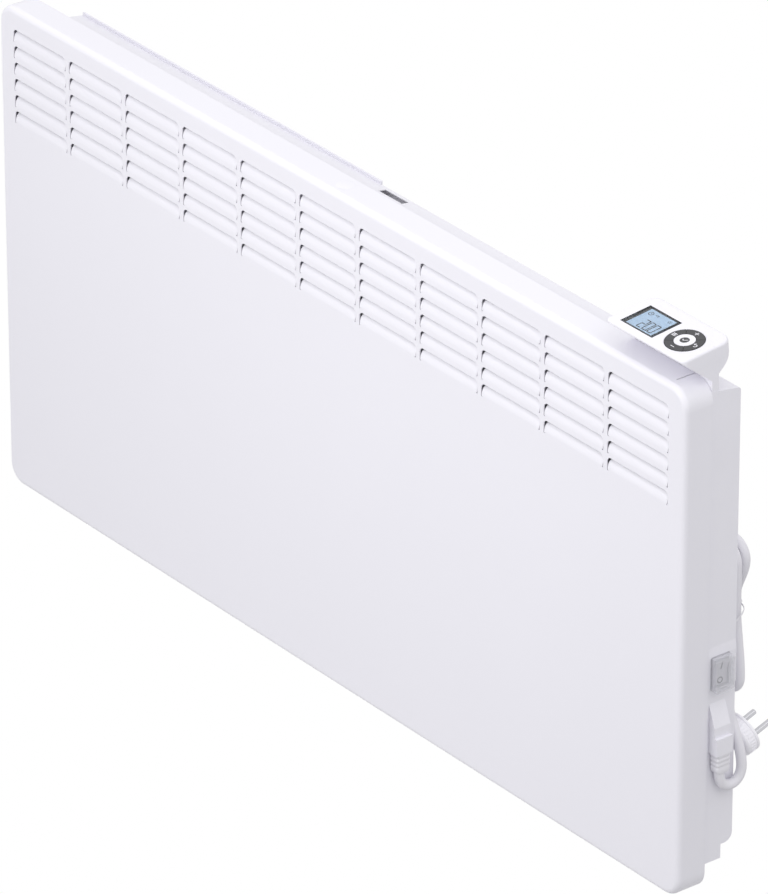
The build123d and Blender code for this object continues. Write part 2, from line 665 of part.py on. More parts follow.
# ---------------------------------------------------------------- control head
HEAD = Plane(origin=(SIDE - HEAD_WIDTH / 2, FRONT + HEAD_FRONT, TOP + HEAD_RISE),
             x_dir=(1, 0, 0), z_dir=(0, -sin(radians(HEAD_TILT)), cos(radians(HEAD_TILT))))
HEAD_LENGTH = (HEAD_BACK - HEAD_FRONT) / cos(radians(HEAD_TILT))
RING_X = HEAD_WIDTH / 2 - RING_FROM_RIGHT
RING_Y = RING_FROM_FRONT
WINDOW_X = -HEAD_WIDTH / 2 + WINDOW_LEFT + WINDOW_WIDTH / 2
WINDOW_Y = WINDOW_FRONT + WINDOW_DEPTH / 2
KEY_LOW = -HEAD_FLOOR - RUN_CLEAR - KEY_FLANGE
BOSS_TOP = KEY_LOW - KEY_TRAVEL - SEAT_CLEAR
MAT_TOP = BOSS_TOP - BOSS_HEIGHT
CONTROL_TOP = MAT_TOP - MAT_THICK
CONTROL_LOW = CONTROL_TOP - BOARD_THICK
FLARE_START = (SEAM + RUN_CLEAR, TOP + RUN_CLEAR)


def on_head(x, y, z):
    """A point of the head's own tilted frame as a point of the model."""
    return HEAD.from_local_coords(Vector(x, y, z))


def head_outline(inset):
    """Plan of the head on its own tilted plane."""
    half = HEAD_WIDTH / 2 - inset
    points = [(-half, inset), (half, inset), (half, HEAD_LENGTH - inset), (-half, HEAD_LENGTH - inset)]
    front = HEAD_FRONT_CORNER - inset
    back = HEAD_CORNER - inset
    return outline(points, [front, front, back, back])


def head_slab(inset, low, high):
    """The head's plan made solid between two levels of its tilted plane."""
    return extrude(HEAD.offset(low) * head_outline(inset), amount=high - low)


def under_flare(inset):
    """Everything below the sloped underside, drawn in by a wall."""
    lip = on_head(0, 0, -LIP_FRONT)
    foot = Vector(0, *FLARE_START)
    slope = atan2(lip.Z - foot.Z, foot.Y - lip.Y)
    shift = inset / cos(slope)
    reach = SHELL_DEPTH
    front = (lip.Y - reach, lip.Z + reach * tan(slope) + shift)
    back = (foot.Y + reach, foot.Z - reach * tan(slope) + shift)
    points = [front, back, (back[0], back[1] - 4 * reach), (front[0], back[1] - 4 * reach)]
    return slab_x(outline(points), HOUSING_LEFT - reach, SIDE + reach)


def face_cut(sketch):
    """A sketch on the head's face cut through its upper wall."""
    return extrude(HEAD.offset(-2 * HEAD_FLOOR) * sketch, amount=3 * HEAD_FLOOR)


def control_posts():
    """Middle of each post that carries the control board, in the head's plane."""
    half = HEAD_WIDTH / 2 - HEAD_WALL - HEAD_POST_INSET
    return [(-half, HEAD_SLAB + SMALL_SCREW + 1), (half, HEAD_SLAB + SMALL_SCREW + 1),
            (-half, HEAD_LENGTH - HEAD_CORNER), (half, HEAD_LENGTH - HEAD_CORNER)]


def head_upper_shell():
    body = head_slab(0, -HEAD_SLAB, 0)
    top = body.faces().sort_by(Axis(HEAD.origin, HEAD.z_dir))[-1]
    body = fillet(top.edges(), HEAD_EDGE)
    body -= under_flare(0)
    body -= head_slab(HEAD_WALL, -2 * HEAD_SLAB, -HEAD_FLOOR) - under_flare(HEAD_WALL)
    body -= face_cut(window_shape(0))
    body -= face_cut(Pos(RING_X, RING_Y) * Circle(RING_RADIUS + KEY_GAP))
    for x, y in control_posts():
        ring = Pos(x, y) * (Circle(2 * SMALL_SCREW) - Circle(SMALL_SCREW + SEAT_CLEAR))
        body += extrude(HEAD.offset(CONTROL_TOP) * ring, amount=-HEAD_FLOOR - CONTROL_TOP)
    return body


def head_lower_shell():
    lip = on_head(0, 0, -LIP_FRONT)
    front, back = neck_y()
    heel = (back, TOP + NECK_FLARE_RISE)
    rear = on_head(0, HEAD_LENGTH - HEAD_FRONT_CORNER / 4, -HEAD_SLAB)
    tip = on_head(0, 0, -HEAD_SLAB)
    points = [(front, rear_top_at(front)), FLARE_START, (lip.Y, lip.Z), (tip.Y, rear.Z + HEAD_SLAB),
              (rear.Y, rear.Z + HEAD_SLAB), (rear.Y, rear.Z), heel, (back, rear_top_at(back))]
    body = slab_x(outline(points), SIDE - HEAD_WIDTH, SIDE)
    body &= head_slab(HEAD_STEP, -4 * HEAD_SLAB, -HEAD_SLAB)
    inner = offset(outline(points), -HEAD_WALL)
    room = slab_x(inner, SIDE - HEAD_WIDTH + HEAD_WALL, SIDE - HEAD_WALL)
    room &= head_slab(HEAD_WALL, -4 * HEAD_SLAB, 0)
    body -= room
    return body - cable_way(REAR_TOP_BACK - PLASTIC, TOP)


def window_shape(inset):
    """The display's opening in the head's face, drawn in by a clearance."""
    shape = Rectangle(WINDOW_WIDTH - 2 * inset, WINDOW_DEPTH - 2 * inset)
    return Pos(WINDOW_X, WINDOW_Y) * shape


def display_window():
    return extrude(HEAD.offset(-WINDOW_THICK) * window_shape(WINDOW_RIM + 2 * SEAT_CLEAR),
                   amount=WINDOW_THICK)


def display_frame():
    """The dark frame round the display, its rim round the window and its mask behind it."""
    left, right, front, back = WINDOW_BORDERS
    size = Rectangle(WINDOW_WIDTH - left - right, WINDOW_DEPTH - front - back)
    opening = Pos(WINDOW_X + (left - right) / 2, WINDOW_Y + (front - back) / 2) * size
    low = -WINDOW_THICK - MASK_THICK
    body = extrude(HEAD.offset(low) * (window_shape(SEAT_CLEAR) - opening), amount=-low)
    return body - extrude(HEAD.offset(-WINDOW_THICK) * window_shape(WINDOW_RIM + SEAT_CLEAR),
                          amount=WINDOW_THICK)


def lcd_module():
    top = -WINDOW_THICK - MASK_THICK
    return extrude(HEAD.offset(CONTROL_TOP) * window_shape(SEAT_CLEAR), amount=top - CONTROL_TOP)


def control_board():
    half = HEAD_WIDTH / 2 - HEAD_WALL - 2 * RUN_CLEAR
    front = HEAD_SLAB
    back = HEAD_LENGTH - HEAD_WALL - 2 * RUN_CLEAR
    corner = HEAD_CORNER - HEAD_WALL
    points = [(-half, front), (half, front), (half, back), (-half, back)]
    body = extrude(HEAD.offset(CONTROL_LOW) * outline(points, [0, 0, corner, corner]),
                   amount=BOARD_THICK)
    for x, y in control_posts():
        body -= rod(on_head(x, y, CONTROL_TOP), on_head(x, y, CONTROL_LOW),
                    SMALL_SCREW + SEAT_CLEAR)
    return body


def control_board_screws():
    reach = BOARD_THICK + BOSS_HEIGHT
    screws = []
    for x, y in control_posts():
        at = Plane(origin=on_head(x, y, CONTROL_LOW), z_dir=HEAD.z_dir)
        shank = extrude(at * Circle(SMALL_SCREW), amount=reach)
        screws.append(shank + extrude(at * Circle(2 * SMALL_SCREW), amount=-SMALL_SCREW))
    return Compound(screws)


def key_sector(turn, inner, outer):
    """A quarter of a ring about the round button's middle, less half a gap at each end."""
    far = 2 * outer
    wedge = outline([(0, 0), (far, -far), (far, far)])
    shape = (Circle(outer) - Circle(inner)) & Pos(KEY_GAP / sin(radians(45)) / 2, 0) * wedge
    return Pos(RING_X, RING_Y) * Rot(0, 0, turn) * shape


def ring_key(turn):
    """One key of the round button, its cap through the face and a flange behind it."""
    cap = extrude(HEAD.offset(KEY_LOW) * key_sector(turn, RING_BORE + KEY_GAP, RING_RADIUS),
                  amount=KEY_PROUD - KEY_LOW)
    wide = key_sector(turn, RING_BORE + KEY_GAP, RING_RADIUS + KEY_GAP + KEY_OVERLAP)
    return cap + extrude(HEAD.offset(KEY_LOW) * wide, amount=KEY_FLANGE)


def key_ok():
    centre = Pos(RING_X, RING_Y)
    body = extrude(HEAD.offset(KEY_LOW) * (centre * Circle(RING_BORE)), amount=KEY_PROUD - KEY_LOW)
    inlay = centre * Circle(INLAY_RADIUS + SEAT_CLEAR)
    return body - extrude(HEAD.offset(KEY_PROUD - INLAY_DEPTH) * inlay, amount=INLAY_DEPTH)


def ok_inlay():
    disc = Pos(RING_X, RING_Y) * Circle(INLAY_RADIUS)
    return extrude(HEAD.offset(KEY_PROUD - INLAY_DEPTH) * disc, amount=INLAY_DEPTH)


def key_mat():
    """The rubber mat with a dome under each key."""
    centre = Pos(RING_X, RING_Y)
    reach = (RING_BORE + RING_RADIUS) / 2
    mat = extrude(HEAD.offset(CONTROL_TOP) * (centre * Circle(reach + BOSS_RADIUS + KEY_GAP / 2)),
                  amount=MAT_THICK)
    spots = [(0, 0)] + [(reach * cos(radians(a)), reach * sin(radians(a))) for a in range(0, 360, 90)]
    for x, y in spots:
        dome = Pos(RING_X + x, RING_Y + y) * Circle(BOSS_RADIUS)
        mat += extrude(HEAD.offset(MAT_TOP) * dome, amount=BOSS_HEIGHT)
    return mat


# ---------------------------------------------------------------- switch
PIVOT_X = SIDE - PIVOT_DEPTH
ROCK = ROCKER_ANGLE / 2


def switch_body():
    flange = slab_x(switch_plan(0, SWITCH_CORNER), SWITCH_FACE, SWITCH_FACE + SWITCH_FLANGE)
    flange = chamfer(flange.faces().sort_by(Axis.X)[-1].edges(), SWITCH_FLANGE / 2)
    room = block((PAD_FACE - SWITCH_BODY_DEPTH + SWITCH_WALL, SWITCH_FACE + 2 * SWITCH_FLANGE),
                 (SWITCH_Y - OPEN_Y, SWITCH_Y + OPEN_Y),
                 (SWITCH_MIDDLE - OPEN_Z, SWITCH_MIDDLE + OPEN_Z))
    reach = OPEN_Y + 2 * SWITCH_WALL
    pivot = rod((PIVOT_X, SWITCH_Y - reach, SWITCH_MIDDLE), (PIVOT_X, SWITCH_Y + reach, SWITCH_MIDDLE),
                ROCKER_PIN + SEAT_CLEAR)
    return flange + switch_cutout(0) - room - pivot


def switch_rocker():
    """The rocker at rest, its lower half pressed in."""
    rise = tan(radians(ROCK))
    crown = ROCKER_DEPTH / cos(radians(ROCK))
    half = (OPEN_Z - RUN_CLEAR - ROCKER_DEPTH * rise) * cos(radians(ROCK))
    tip = crown + half * rise
    back = -2 * ROCKER_PIN
    points = [(crown, 0), (tip, half), (ROCKER_PIN, half), (back, 2 * ROCKER_PIN),
              (back, -2 * ROCKER_PIN), (ROCKER_PIN, -half), (tip, -half)]
    face = outline(points, [half, 0.6, 0, 0, 0, 0, 0.6])
    width = OPEN_Y - RUN_CLEAR
    body = slab_y(face, -width, width)
    reach = OPEN_Y + SWITCH_WALL
    body += rod((0, -reach, 0), (0, reach, 0), ROCKER_PIN)
    return Pos(PIVOT_X, SWITCH_Y, SWITCH_MIDDLE) * Rot(0, ROCK, 0) * body


def switch_cover():
    """The clear splash cap over the rocker, its foot held under the switch's rim."""
    face = SIDE + COVER_PROUD
    grow = COVER_CLEAR + COVER_WALL
    body = slab_x(switch_plan(grow, SWITCH_CORNER + grow), PAD_FACE, face)
    body = fillet(body.faces().sort_by(Axis.X)[-1].edges(), SWITCH_CORNER)
    room = slab_x(switch_plan(COVER_CLEAR, SWITCH_CORNER + COVER_CLEAR), SWITCH_FACE, face - COVER_WALL)
    room = fillet(room.faces().sort_by(Axis.X)[-1].edges(), SWITCH_CORNER - COVER_WALL)
    return body - room - switch_cutout(SEAT_CLEAR)


# ---------------------------------------------------------------- cord inlet
INLET_HIGH = BOTTOM + INLET_TOP
INLET_STEP = BOTTOM + INLET_LEDGE
INLET_LOW = BOTTOM + INLET_BOTTOM
CLAMP_LOW = BOTTOM + CLAMP_BOTTOM
CORD_END = CLAMP_LOW + CORD_HOLD
MAINS_LEVEL = INLET_STEP - MAINS_DROP
INLET_FRONT = FRONT + INLET_START
INLET_REAR = INLET_FRONT + INLET_DEPTH


def cord_inlet_housing():
    """The hood on the housing's side that the cord goes up into."""
    proud = SIDE + INLET_PROUD
    shoulder = SIDE + SHOULDER_PROUD
    points = [(SIDE, INLET_LOW), (proud, INLET_LOW), (proud, INLET_STEP), (shoulder, INLET_STEP),
              (shoulder, BOTTOM + INLET_SHOULDER), (SIDE, INLET_HIGH)]
    body = slab_y(outline(points), INLET_FRONT, INLET_REAR)
    body -= rod((CORD_X, CORD_Y, INLET_LOW), (CORD_X, CORD_Y, MAINS_LEVEL), MAINS_HOLE)
    body -= block((SIDE, CORD_X + MAINS_HOLE), (CORD_Y - MAINS_HOLE, CORD_Y + MAINS_HOLE),
                  (INLET_LOW + PLASTIC, MAINS_LEVEL + MAINS_HOLE))
    for y, z in inlet_screws():
        body -= rod((SIDE, y, z), (SIDE + HOOD_GRIP, y, z), SCREW_RADIUS + SEAT_CLEAR)
    return body


def inlet_screws():
    """Y and Z of the two screws that hold the hood from inside the housing."""
    y = INLET_REAR - INLET_WALL - SCREW_RADIUS
    return [(y, INLET_LOW + SCREW_HEAD + RUN_CLEAR), (y, INLET_STEP - SCREW_HEAD - RUN_CLEAR)]


def cord_inlet_screws():
    inner = SIDE - PLASTIC
    return Compound([screw((inner, y, z), (1, 0, 0), PLASTIC + HOOD_GRIP) for y, z in inlet_screws()])


def cord_clamp():
    """The tapered block that the cord leaves the hood through."""
    front = FRONT + CLAMP_BACK - CLAMP_DEPTH / 2
    back = front + CLAMP_DEPTH
    points = [(front, INLET_LOW), (back, INLET_LOW), (back - CLAMP_DRAW, CLAMP_LOW),
              (front + CLAMP_DRAW, CLAMP_LOW)]
    shape = outline(points, [0, 0, CLAMP_CORNER, CLAMP_CORNER])
    body = slab_x(shape, CORD_X - CLAMP_THICK / 2, CORD_X + CLAMP_THICK / 2)
    body -= rod((CORD_X, CORD_Y, CLAMP_LOW), (CORD_X, CORD_Y, CORD_END), CORD_DIAMETER / 2 + SEAT_CLEAR)
    return body - rod((CORD_X, CORD_Y, CORD_END), (CORD_X, CORD_Y, INLET_LOW), MAINS_HOLE)


# ---------------------------------------------------------------- cord, hank and plug
HANK_Y = BACK + HANK_OFF_WALL + CORD_DIAMETER / 2
RUN_LOW = BOTTOM + HANK_LOW
RUN_HIGH = BOTTOM + HANK_HIGH
WAIST_Z = BOTTOM + HANK_WAIST


def hank_runs():
    """Start, waist and end of each run in the order that it is wound."""
    runs = []
    for k, (low, waist, high, first, last) in enumerate(HANK_RUNS):
        ends = [(low, RUN_LOW), (high, RUN_HIGH)]
        if k % 2:
            ends.reverse()
        start, end = [Vector(HANK_X + x, HANK_Y + HANK_LAYER * layer, z)
                      for (x, z), layer in zip(ends, (first, last))]
        middle = Vector(HANK_X + waist, (start.Y + end.Y) / 2, WAIST_Z)
        runs.append((start, middle, end))
    return runs


def bend_in(start, end):
    """Two arcs that leave and arrive upright between two points."""
    drop = end - start
    side = Vector(drop.X, drop.Y, 0).length
    turn = 2 * atan2(side, abs(drop.Z))
    radius = abs(drop.Z) / (2 * sin(turn))
    middle = start + drop / 2
    across = Vector(drop.X, drop.Y, 0).normalized()
    up = Vector(0, 0, 1 if drop.Z > 0 else -1)
    first = start + across * radius * (1 - cos(turn / 2)) + up * radius * sin(turn / 2)
    last = end - across * radius * (1 - cos(turn / 2)) - up * radius * sin(turn / 2)
    return [ThreePointArc(start, first, middle), ThreePointArc(middle, last, end)]


def half_turn(start, end, way):
    """A half circle over the top or under the bottom from one run to the next."""
    middle = (start + end) / 2
    reach = (end - start).length / 2
    return ThreePointArc(start, middle + Vector(0, 0, way * reach), end)


def hank_path():
    edges = []
    runs = hank_runs()
    for k, (start, waist, end) in enumerate(runs):
        edges += bend_in(start, waist) + bend_in(waist, end)
        if k + 1 < len(runs):
            edges.append(half_turn(end, runs[k + 1][0], -1 if k % 2 else 1))
    return Wire(edges)


def cord_hank():
    path = hank_path()
    return sweep(Plane(origin=path @ 0, z_dir=path % 0) * Circle(CORD_DIAMETER / 2), path=path)


def own_gap(path, steps=900):
    """The least gap of a wound cord to itself, measured on points of its middle line."""
    spots = [tuple(path @ (k / steps)) for k in range(steps + 1)]
    skip = int(2 * CORD_DIAMETER / (path.length / steps)) + 1
    least = path.length
    for k, a in enumerate(spots):
        for b in spots[k + skip:]:
            least = min(least, hypot(a[0] - b[0], a[1] - b[1], a[2] - b[2]))
    return least - CORD_DIAMETER


# the supply cord from the clamp to the hank, and the plug's lead from the hank
def supply_route():
    start = hank_runs()[0][0]
    return [(CORD_X, CORD_Y, CORD_END), (CORD_X, CORD_Y, CLAMP_LOW - 7.0),
            (CORD_X, -56.5, -133.6), (450.2, -46.0, -133.6), (450.2, -39.4, -125.5),
            (448.4, -39.4, -111.0), (442.4, -39.4, -96.5), (433.8, -38.9, -83.5),
            (start.X, start.Y, RUN_LOW - 16.0), (start.X, start.Y, RUN_LOW)]


def plug_lead_route():
    end = hank_runs()[-1][2]
    top = nozzle_top()
    return [(end.X, end.Y, RUN_LOW), (end.X, end.Y, RUN_LOW - 10.0), (389.0, -24.5, -72.0),
            (395.0, -30.5, -77.5), (401.5, -34.3, -81.6), tuple(top + NOZZLE_WAY * 8.0), tuple(top)]


PIN_WAY = Vector(0, cos(radians(PLUG_LEAN)), sin(radians(PLUG_LEAN)))
UPRIGHT_WAY = Vector(0, -sin(radians(PLUG_LEAN)), cos(radians(PLUG_LEAN)))
NOZZLE_WAY = UPRIGHT_WAY * cos(radians(PLUG_TURN)) - Vector(sin(radians(PLUG_TURN)), 0, 0)
PLUG_FACE = Vector(PLUG_X, FRONT + PLUG_FACE_BACK, BOTTOM + PLUG_FACE_Z)


def nozzle_top():
    return PLUG_FACE - PIN_WAY * (PLUG_THICK / 2) + NOZZLE_WAY * (PLUG_RADIUS + NOZZLE_LENGTH)


def plug_body():
    base = Plane(origin=PLUG_FACE - PIN_WAY * PLUG_THICK, z_dir=PIN_WAY)
    body = extrude(base * Circle(PLUG_RADIUS), amount=PLUG_THICK)
    body = fillet(body.faces().sort_by(Axis.Y)[0].edges(), PLUG_ROUND)
    at = Plane(origin=PLUG_FACE - PIN_WAY * (PLUG_THICK / 2) + NOZZLE_WAY * (PLUG_RADIUS / 2),
               z_dir=NOZZLE_WAY)
    reach = PLUG_RADIUS / 2 + NOZZLE_LENGTH
    body += extrude(at * Circle(NOZZLE_RADIUS + 1), amount=reach - NOZZLE_LENGTH / 2)
    body += extrude(at * Circle(NOZZLE_RADIUS), amount=reach)
    for side in (-1, 1):
        at = PLUG_FACE + Vector(side * PLUG_PITCH / 2, 0, 0)
        body -= rod(at - PIN_WAY * (PLUG_THICK / 2), at, PIN_STEM + SEAT_CLEAR)
    return body


def plug_pins():
    pins = []
    for side in (-1, 1):
        at = PLUG_FACE + Vector(side * PLUG_PITCH / 2, 0, 0)
        pin = rod(at, at + PIN_WAY * PIN_LENGTH, PIN_RADIUS)
        tip = pin.faces().sort_by(Axis(at, PIN_WAY))[-1].edges()
        pins.append(fillet(tip, PIN_RADIUS / 2) + rod(at - PIN_WAY * (PLUG_THICK / 2), at, PIN_STEM))
    return Compound(pins)


def cord_tie():
    """The thin band that hangs askew round the hank's waist."""
    waists = [waist for start, waist, end in hank_runs()]
    lean = radians(TIE_LEAN)
    left = min(waist.X for waist in waists) - CORD_DIAMETER / 2 - RUN_CLEAR
    right = max(waist.X for waist in waists) + CORD_DIAMETER / 2 + TIE_SLACK
    deep = CORD_DIAMETER / 2 + SEAT_CLEAR + TIE_HEIGHT / 2 * sin(lean)
    front = min(waist.Y for waist in waists) - deep
    back = max(waist.Y for waist in waists) + deep
    at = Plane(origin=((left + right) / 2, (front + back) / 2, WAIST_Z - TIE_DROP), x_dir=(1, 0, 0),
               z_dir=(0, -sin(lean), cos(lean)))
    depth = (back - front) / cos(lean)
    outer = RectangleRounded(right - left + 2 * TIE_THICK, depth + 2 * TIE_THICK, TIE_CORNER + TIE_THICK)
    inner = RectangleRounded(right - left, depth, TIE_CORNER)
    return extrude(at * (outer - inner), amount=TIE_HEIGHT / 2, both=True)


# ---------------------------------------------------------------- heating element
ELEMENT_Y = FRONT + ELEMENT_BACK - ELEMENT_DEPTH / 2
ELEMENT_MIDDLE = BOTTOM + ELEMENT_Z
PARTITION_X = HOUSING_LEFT + PARTITION_INSET
ELEMENT_LEFT = REAR_LEFT + ELEMENT_INSET
ELEMENT_RIGHT = PARTITION_X - ELEMENT_GAP
TUBE_LEFT = ELEMENT_LEFT - TUBE_END
TUBE_RIGHT = ELEMENT_RIGHT + TUBE_END
SHIELD_Y = BACK - REAR_SHEET - SHIELD_STANDOFF
SHIELD_LEFT = REAR_LEFT + TUBE_END
SHIELD_RIGHT = REAR_RIGHT - TUBE_END
CUTOUT_Z = ELEMENT_MIDDLE + CUTOUT_RISE
CUTOUT_REACH = 2.4 * CUTOUT_RADIUS


def heating_element():
    """The finned aluminium profile with its bore for the heating tube."""
    shape = Circle(CORE_RADIUS) + Rectangle(ELEMENT_DEPTH, 2 * FIN_THICK)
    pitch = (ELEMENT_DEPTH - FIN_THICK) / (FIN_PAIRS - 1)
    for k in range(FIN_PAIRS):
        y = -ELEMENT_DEPTH / 2 + FIN_THICK / 2 + pitch * k
        shape += Pos(y, 0) * Rectangle(FIN_THICK, ELEMENT_HEIGHT)
    shape -= Circle(TUBE_RADIUS + SEAT_CLEAR)
    return slab_x(Pos(ELEMENT_Y, ELEMENT_MIDDLE) * shape, ELEMENT_LEFT, ELEMENT_RIGHT)


def element_tube():
    return rod((TUBE_LEFT, ELEMENT_Y, ELEMENT_MIDDLE), (TUBE_RIGHT, ELEMENT_Y, ELEMENT_MIDDLE),
               TUBE_RADIUS)


def bush_places():
    """Outer face of each ceramic bush, and the way to its element."""
    return [(ELEMENT_LEFT - TUBE_END / 2, 1), (ELEMENT_RIGHT + TUBE_END / 2, -1)]


def element_bushes():
    """Stepped ceramic bushes between the tube and its brackets."""
    bushes = []
    for x, way in bush_places():
        at = Plane(origin=(x, ELEMENT_Y, ELEMENT_MIDDLE), z_dir=(way, 0, 0))
        ring = Circle(BUSH_RADIUS) - Circle(TUBE_RADIUS + SEAT_CLEAR)
        collar = Circle(BUSH_RADIUS + 2) - Circle(TUBE_RADIUS + SEAT_CLEAR)
        bushes.append(extrude(at * ring, amount=BUSH_LENGTH)
                      + extrude(at.offset(BUSH_LENGTH - 2) * collar, amount=2))
    return Compound(bushes)


def element_bracket(place):
    """A sheet bracket on the heat shield that holds one bush."""
    x, way = place
    plate_x = sorted((x + way * BRACKET_INSET, x + way * (BRACKET_INSET + REAR_SHEET)))
    foot_x = sorted((x + way * BRACKET_INSET, x + way * ELEMENT_DEPTH / 2))
    span = (ELEMENT_MIDDLE - ELEMENT_HEIGHT / 2, ELEMENT_MIDDLE + ELEMENT_HEIGHT / 2)
    plate = block(plate_x, (ELEMENT_Y - ELEMENT_DEPTH / 2, SHIELD_Y - REAR_SHEET), span)
    foot = block(foot_x, (SHIELD_Y - 2 * REAR_SHEET, SHIELD_Y - REAR_SHEET), span)
    hole = rod((x - TUBE_END, ELEMENT_Y, ELEMENT_MIDDLE), (x + TUBE_END, ELEMENT_Y, ELEMENT_MIDDLE),
               BUSH_RADIUS + SEAT_CLEAR)
    return plate + foot - hole


def heat_shield():
    """The sheet that keeps the element's heat off the rear wall, with flanges for feet."""
    low = BOTTOM + SHIELD_BOTTOM
    high = BOTTOM + SHIELD_TOP
    body = block((SHIELD_LEFT, SHIELD_RIGHT), (SHIELD_Y - REAR_SHEET, SHIELD_Y), (low, high))
    rear = BACK - REAR_SHEET
    for z in (low, high - REAR_SHEET):
        body += block((SHIELD_LEFT, SHIELD_RIGHT), (SHIELD_Y - REAR_SHEET, rear), (z, z + REAR_SHEET))
    lips = ((low - TAB_HEIGHT, low + REAR_SHEET), (high - REAR_SHEET, high + TAB_HEIGHT))
    for span in lips:
        body += block((SHIELD_LEFT, SHIELD_RIGHT), (rear - REAR_SHEET, rear), span)
    return body


def partition():
    """The sheet wall between the warm room and the electronics, in the front casing."""
    gap = SHEET + RUN_CLEAR
    mouth = SEAM - PLASTIC
    plate = block((PARTITION_X, PARTITION_X + REAR_SHEET), (FRONT, mouth), (BOTTOM, TOP))
    for span in ((BOTTOM, STEP_FLOOR), (REAR_TOP - PLASTIC, TOP)):
        plate += block((PARTITION_X, PARTITION_X + TAB_HEIGHT), (mouth - REAR_SHEET, mouth), span)
    plate &= rounded_tray(-gap, FRONT + gap, SEAM)
    for z in lead_levels():
        plate -= rod((PARTITION_X - 1, ELEMENT_Y, z), (PARTITION_X + 2, ELEMENT_Y, z),
                     GROMMET_RADIUS - 1)
    return plate


def lead_levels():
    """Height of each lead through the partition, from the lowest."""
    return [ELEMENT_MIDDLE - ELEMENT_HEIGHT / 2 - 2 * CORE_RADIUS, CUTOUT_Z + 3 * CUTOUT_RADIUS]


def lead_grommets():
    rings = []
    for z in lead_levels():
        at = Plane(origin=(PARTITION_X, ELEMENT_Y, z), z_dir=(1, 0, 0))
        bore = Circle(WIRE_RADIUS + SEAT_CLEAR)
        ring = extrude(at * (Circle(GROMMET_RADIUS - 1 - SEAT_CLEAR) - bore), amount=REAR_SHEET)
        for start, way in ((0, -1), (REAR_SHEET, 1)):
            ring += extrude(at.offset(start) * (Circle(GROMMET_RADIUS) - bore), amount=way)
        rings.append(ring)
    return Compound(rings)


def safety_cutout():
    """The bimetal cut-out that stands on the partition over the element."""
    x = PARTITION_X
    y = SEAM - PLASTIC - RUN_CLEAR - CUTOUT_RADIUS
    reach = 1.6 * CUTOUT_RADIUS
    body = rod((x, y, CUTOUT_Z), (x - CUTOUT_RADIUS, y, CUTOUT_Z), CUTOUT_RADIUS)
    body += block((x - REAR_SHEET, x), (y - CUTOUT_RADIUS, y + CUTOUT_RADIUS),
                  (CUTOUT_Z - reach, CUTOUT_Z + reach))
    for z in (CUTOUT_Z - CUTOUT_RADIUS / 2, CUTOUT_Z + CUTOUT_RADIUS / 2):
        body += block((x - CUTOUT_REACH, x - CUTOUT_RADIUS), (ELEMENT_Y - REAR_SHEET, ELEMENT_Y),
                      (z - 1.5, z + 1.5))
    return body


def wire(points):
    return tube_along(points, WIRE_RADIUS, corner_radii(points, 0.4))


def element_leads():
    """Leads of the tube's right end, of the cut-out and of the tube's left end."""
    low, high = lead_levels()
    y = ELEMENT_Y
    right = TUBE_RIGHT - 2 * TUBE_RADIUS
    side = PARTITION_X - CUTOUT_REACH - WIRE_RADIUS
    board = BOARD_FRONT - WIRE_RADIUS
    inner = HOUSING_LEFT + BOARD_LEFT + 2 * POST_INSET
    top = BOTTOM + BOARD_LOW + 3 * POST_INSET
    first = [(right, y, ELEMENT_MIDDLE + TUBE_RADIUS + WIRE_RADIUS),
             (right, y, ELEMENT_MIDDLE + ELEMENT_HEIGHT / 2 + 6),
             (side, y, CUTOUT_Z - 16), (side, y, CUTOUT_Z - 2)]
    second = [(side, y, CUTOUT_Z + 2), (side, y, high - 6), (side + 8, y, high),
              (inner, y, high), (inner + 8, y + 2, high + 5), (inner + 8, y + 14, top - 12),
              (inner + 8, board, top - 8), (inner + 8, board, top + 6)]
    left = TUBE_LEFT + 2 * TUBE_RADIUS
    third = [(left, y, ELEMENT_MIDDLE - TUBE_RADIUS - WIRE_RADIUS), (left, y, low + 14),
             (left + 12, y, low), (inner + 6, y, low), (inner + 24, y + 8, low + 10),
             (inner + 26, board - 3, low + 50), (inner + 26, board, top - 16),
             (inner + 26, board, top + 6)]
    return Compound([wire(first), wire(second), wire(third)])


# ---------------------------------------------------------------- electronics
def power_board():
    left = HOUSING_LEFT + BOARD_LEFT
    body = block((left, left + BOARD_WIDTH), (BOARD_FRONT, BOARD_BACK),
                 (BOTTOM + BOARD_LOW, BOTTOM + BOARD_HIGH))
    for x, z in board_posts():
        body -= rod((x, BOARD_FRONT - 1, z), (x, BOARD_BACK + 1, z), SMALL_SCREW + SEAT_CLEAR)
    return body


def power_board_screws():
    screws = []
    for x, z in board_posts():
        at = Plane(origin=(x, BOARD_FRONT, z), z_dir=(0, 1, 0))
        shank = extrude(at * Circle(SMALL_SCREW), amount=BOARD_THICK + POST_HEIGHT / 2)
        screws.append(shank + extrude(at * Circle(2 * SMALL_SCREW), amount=-SMALL_SCREW))
    return Compound(screws)


def on_board(size, from_left, from_low):
    """A block on the power board's front."""
    left = HOUSING_LEFT + BOARD_LEFT + from_left
    low = BOTTOM + BOARD_LOW + from_low
    return block((left, left + size[0]), (BOARD_FRONT - size[1], BOARD_FRONT), (low, low + size[2]))


def power_relay():
    body = on_board(RELAY_SIZE, BOARD_WIDTH - RELAY_SIZE[0] - POST_INSET, 5 * POST_INSET)
    return fillet(body.faces().sort_by(Axis.Y)[0].edges(), 0.8)


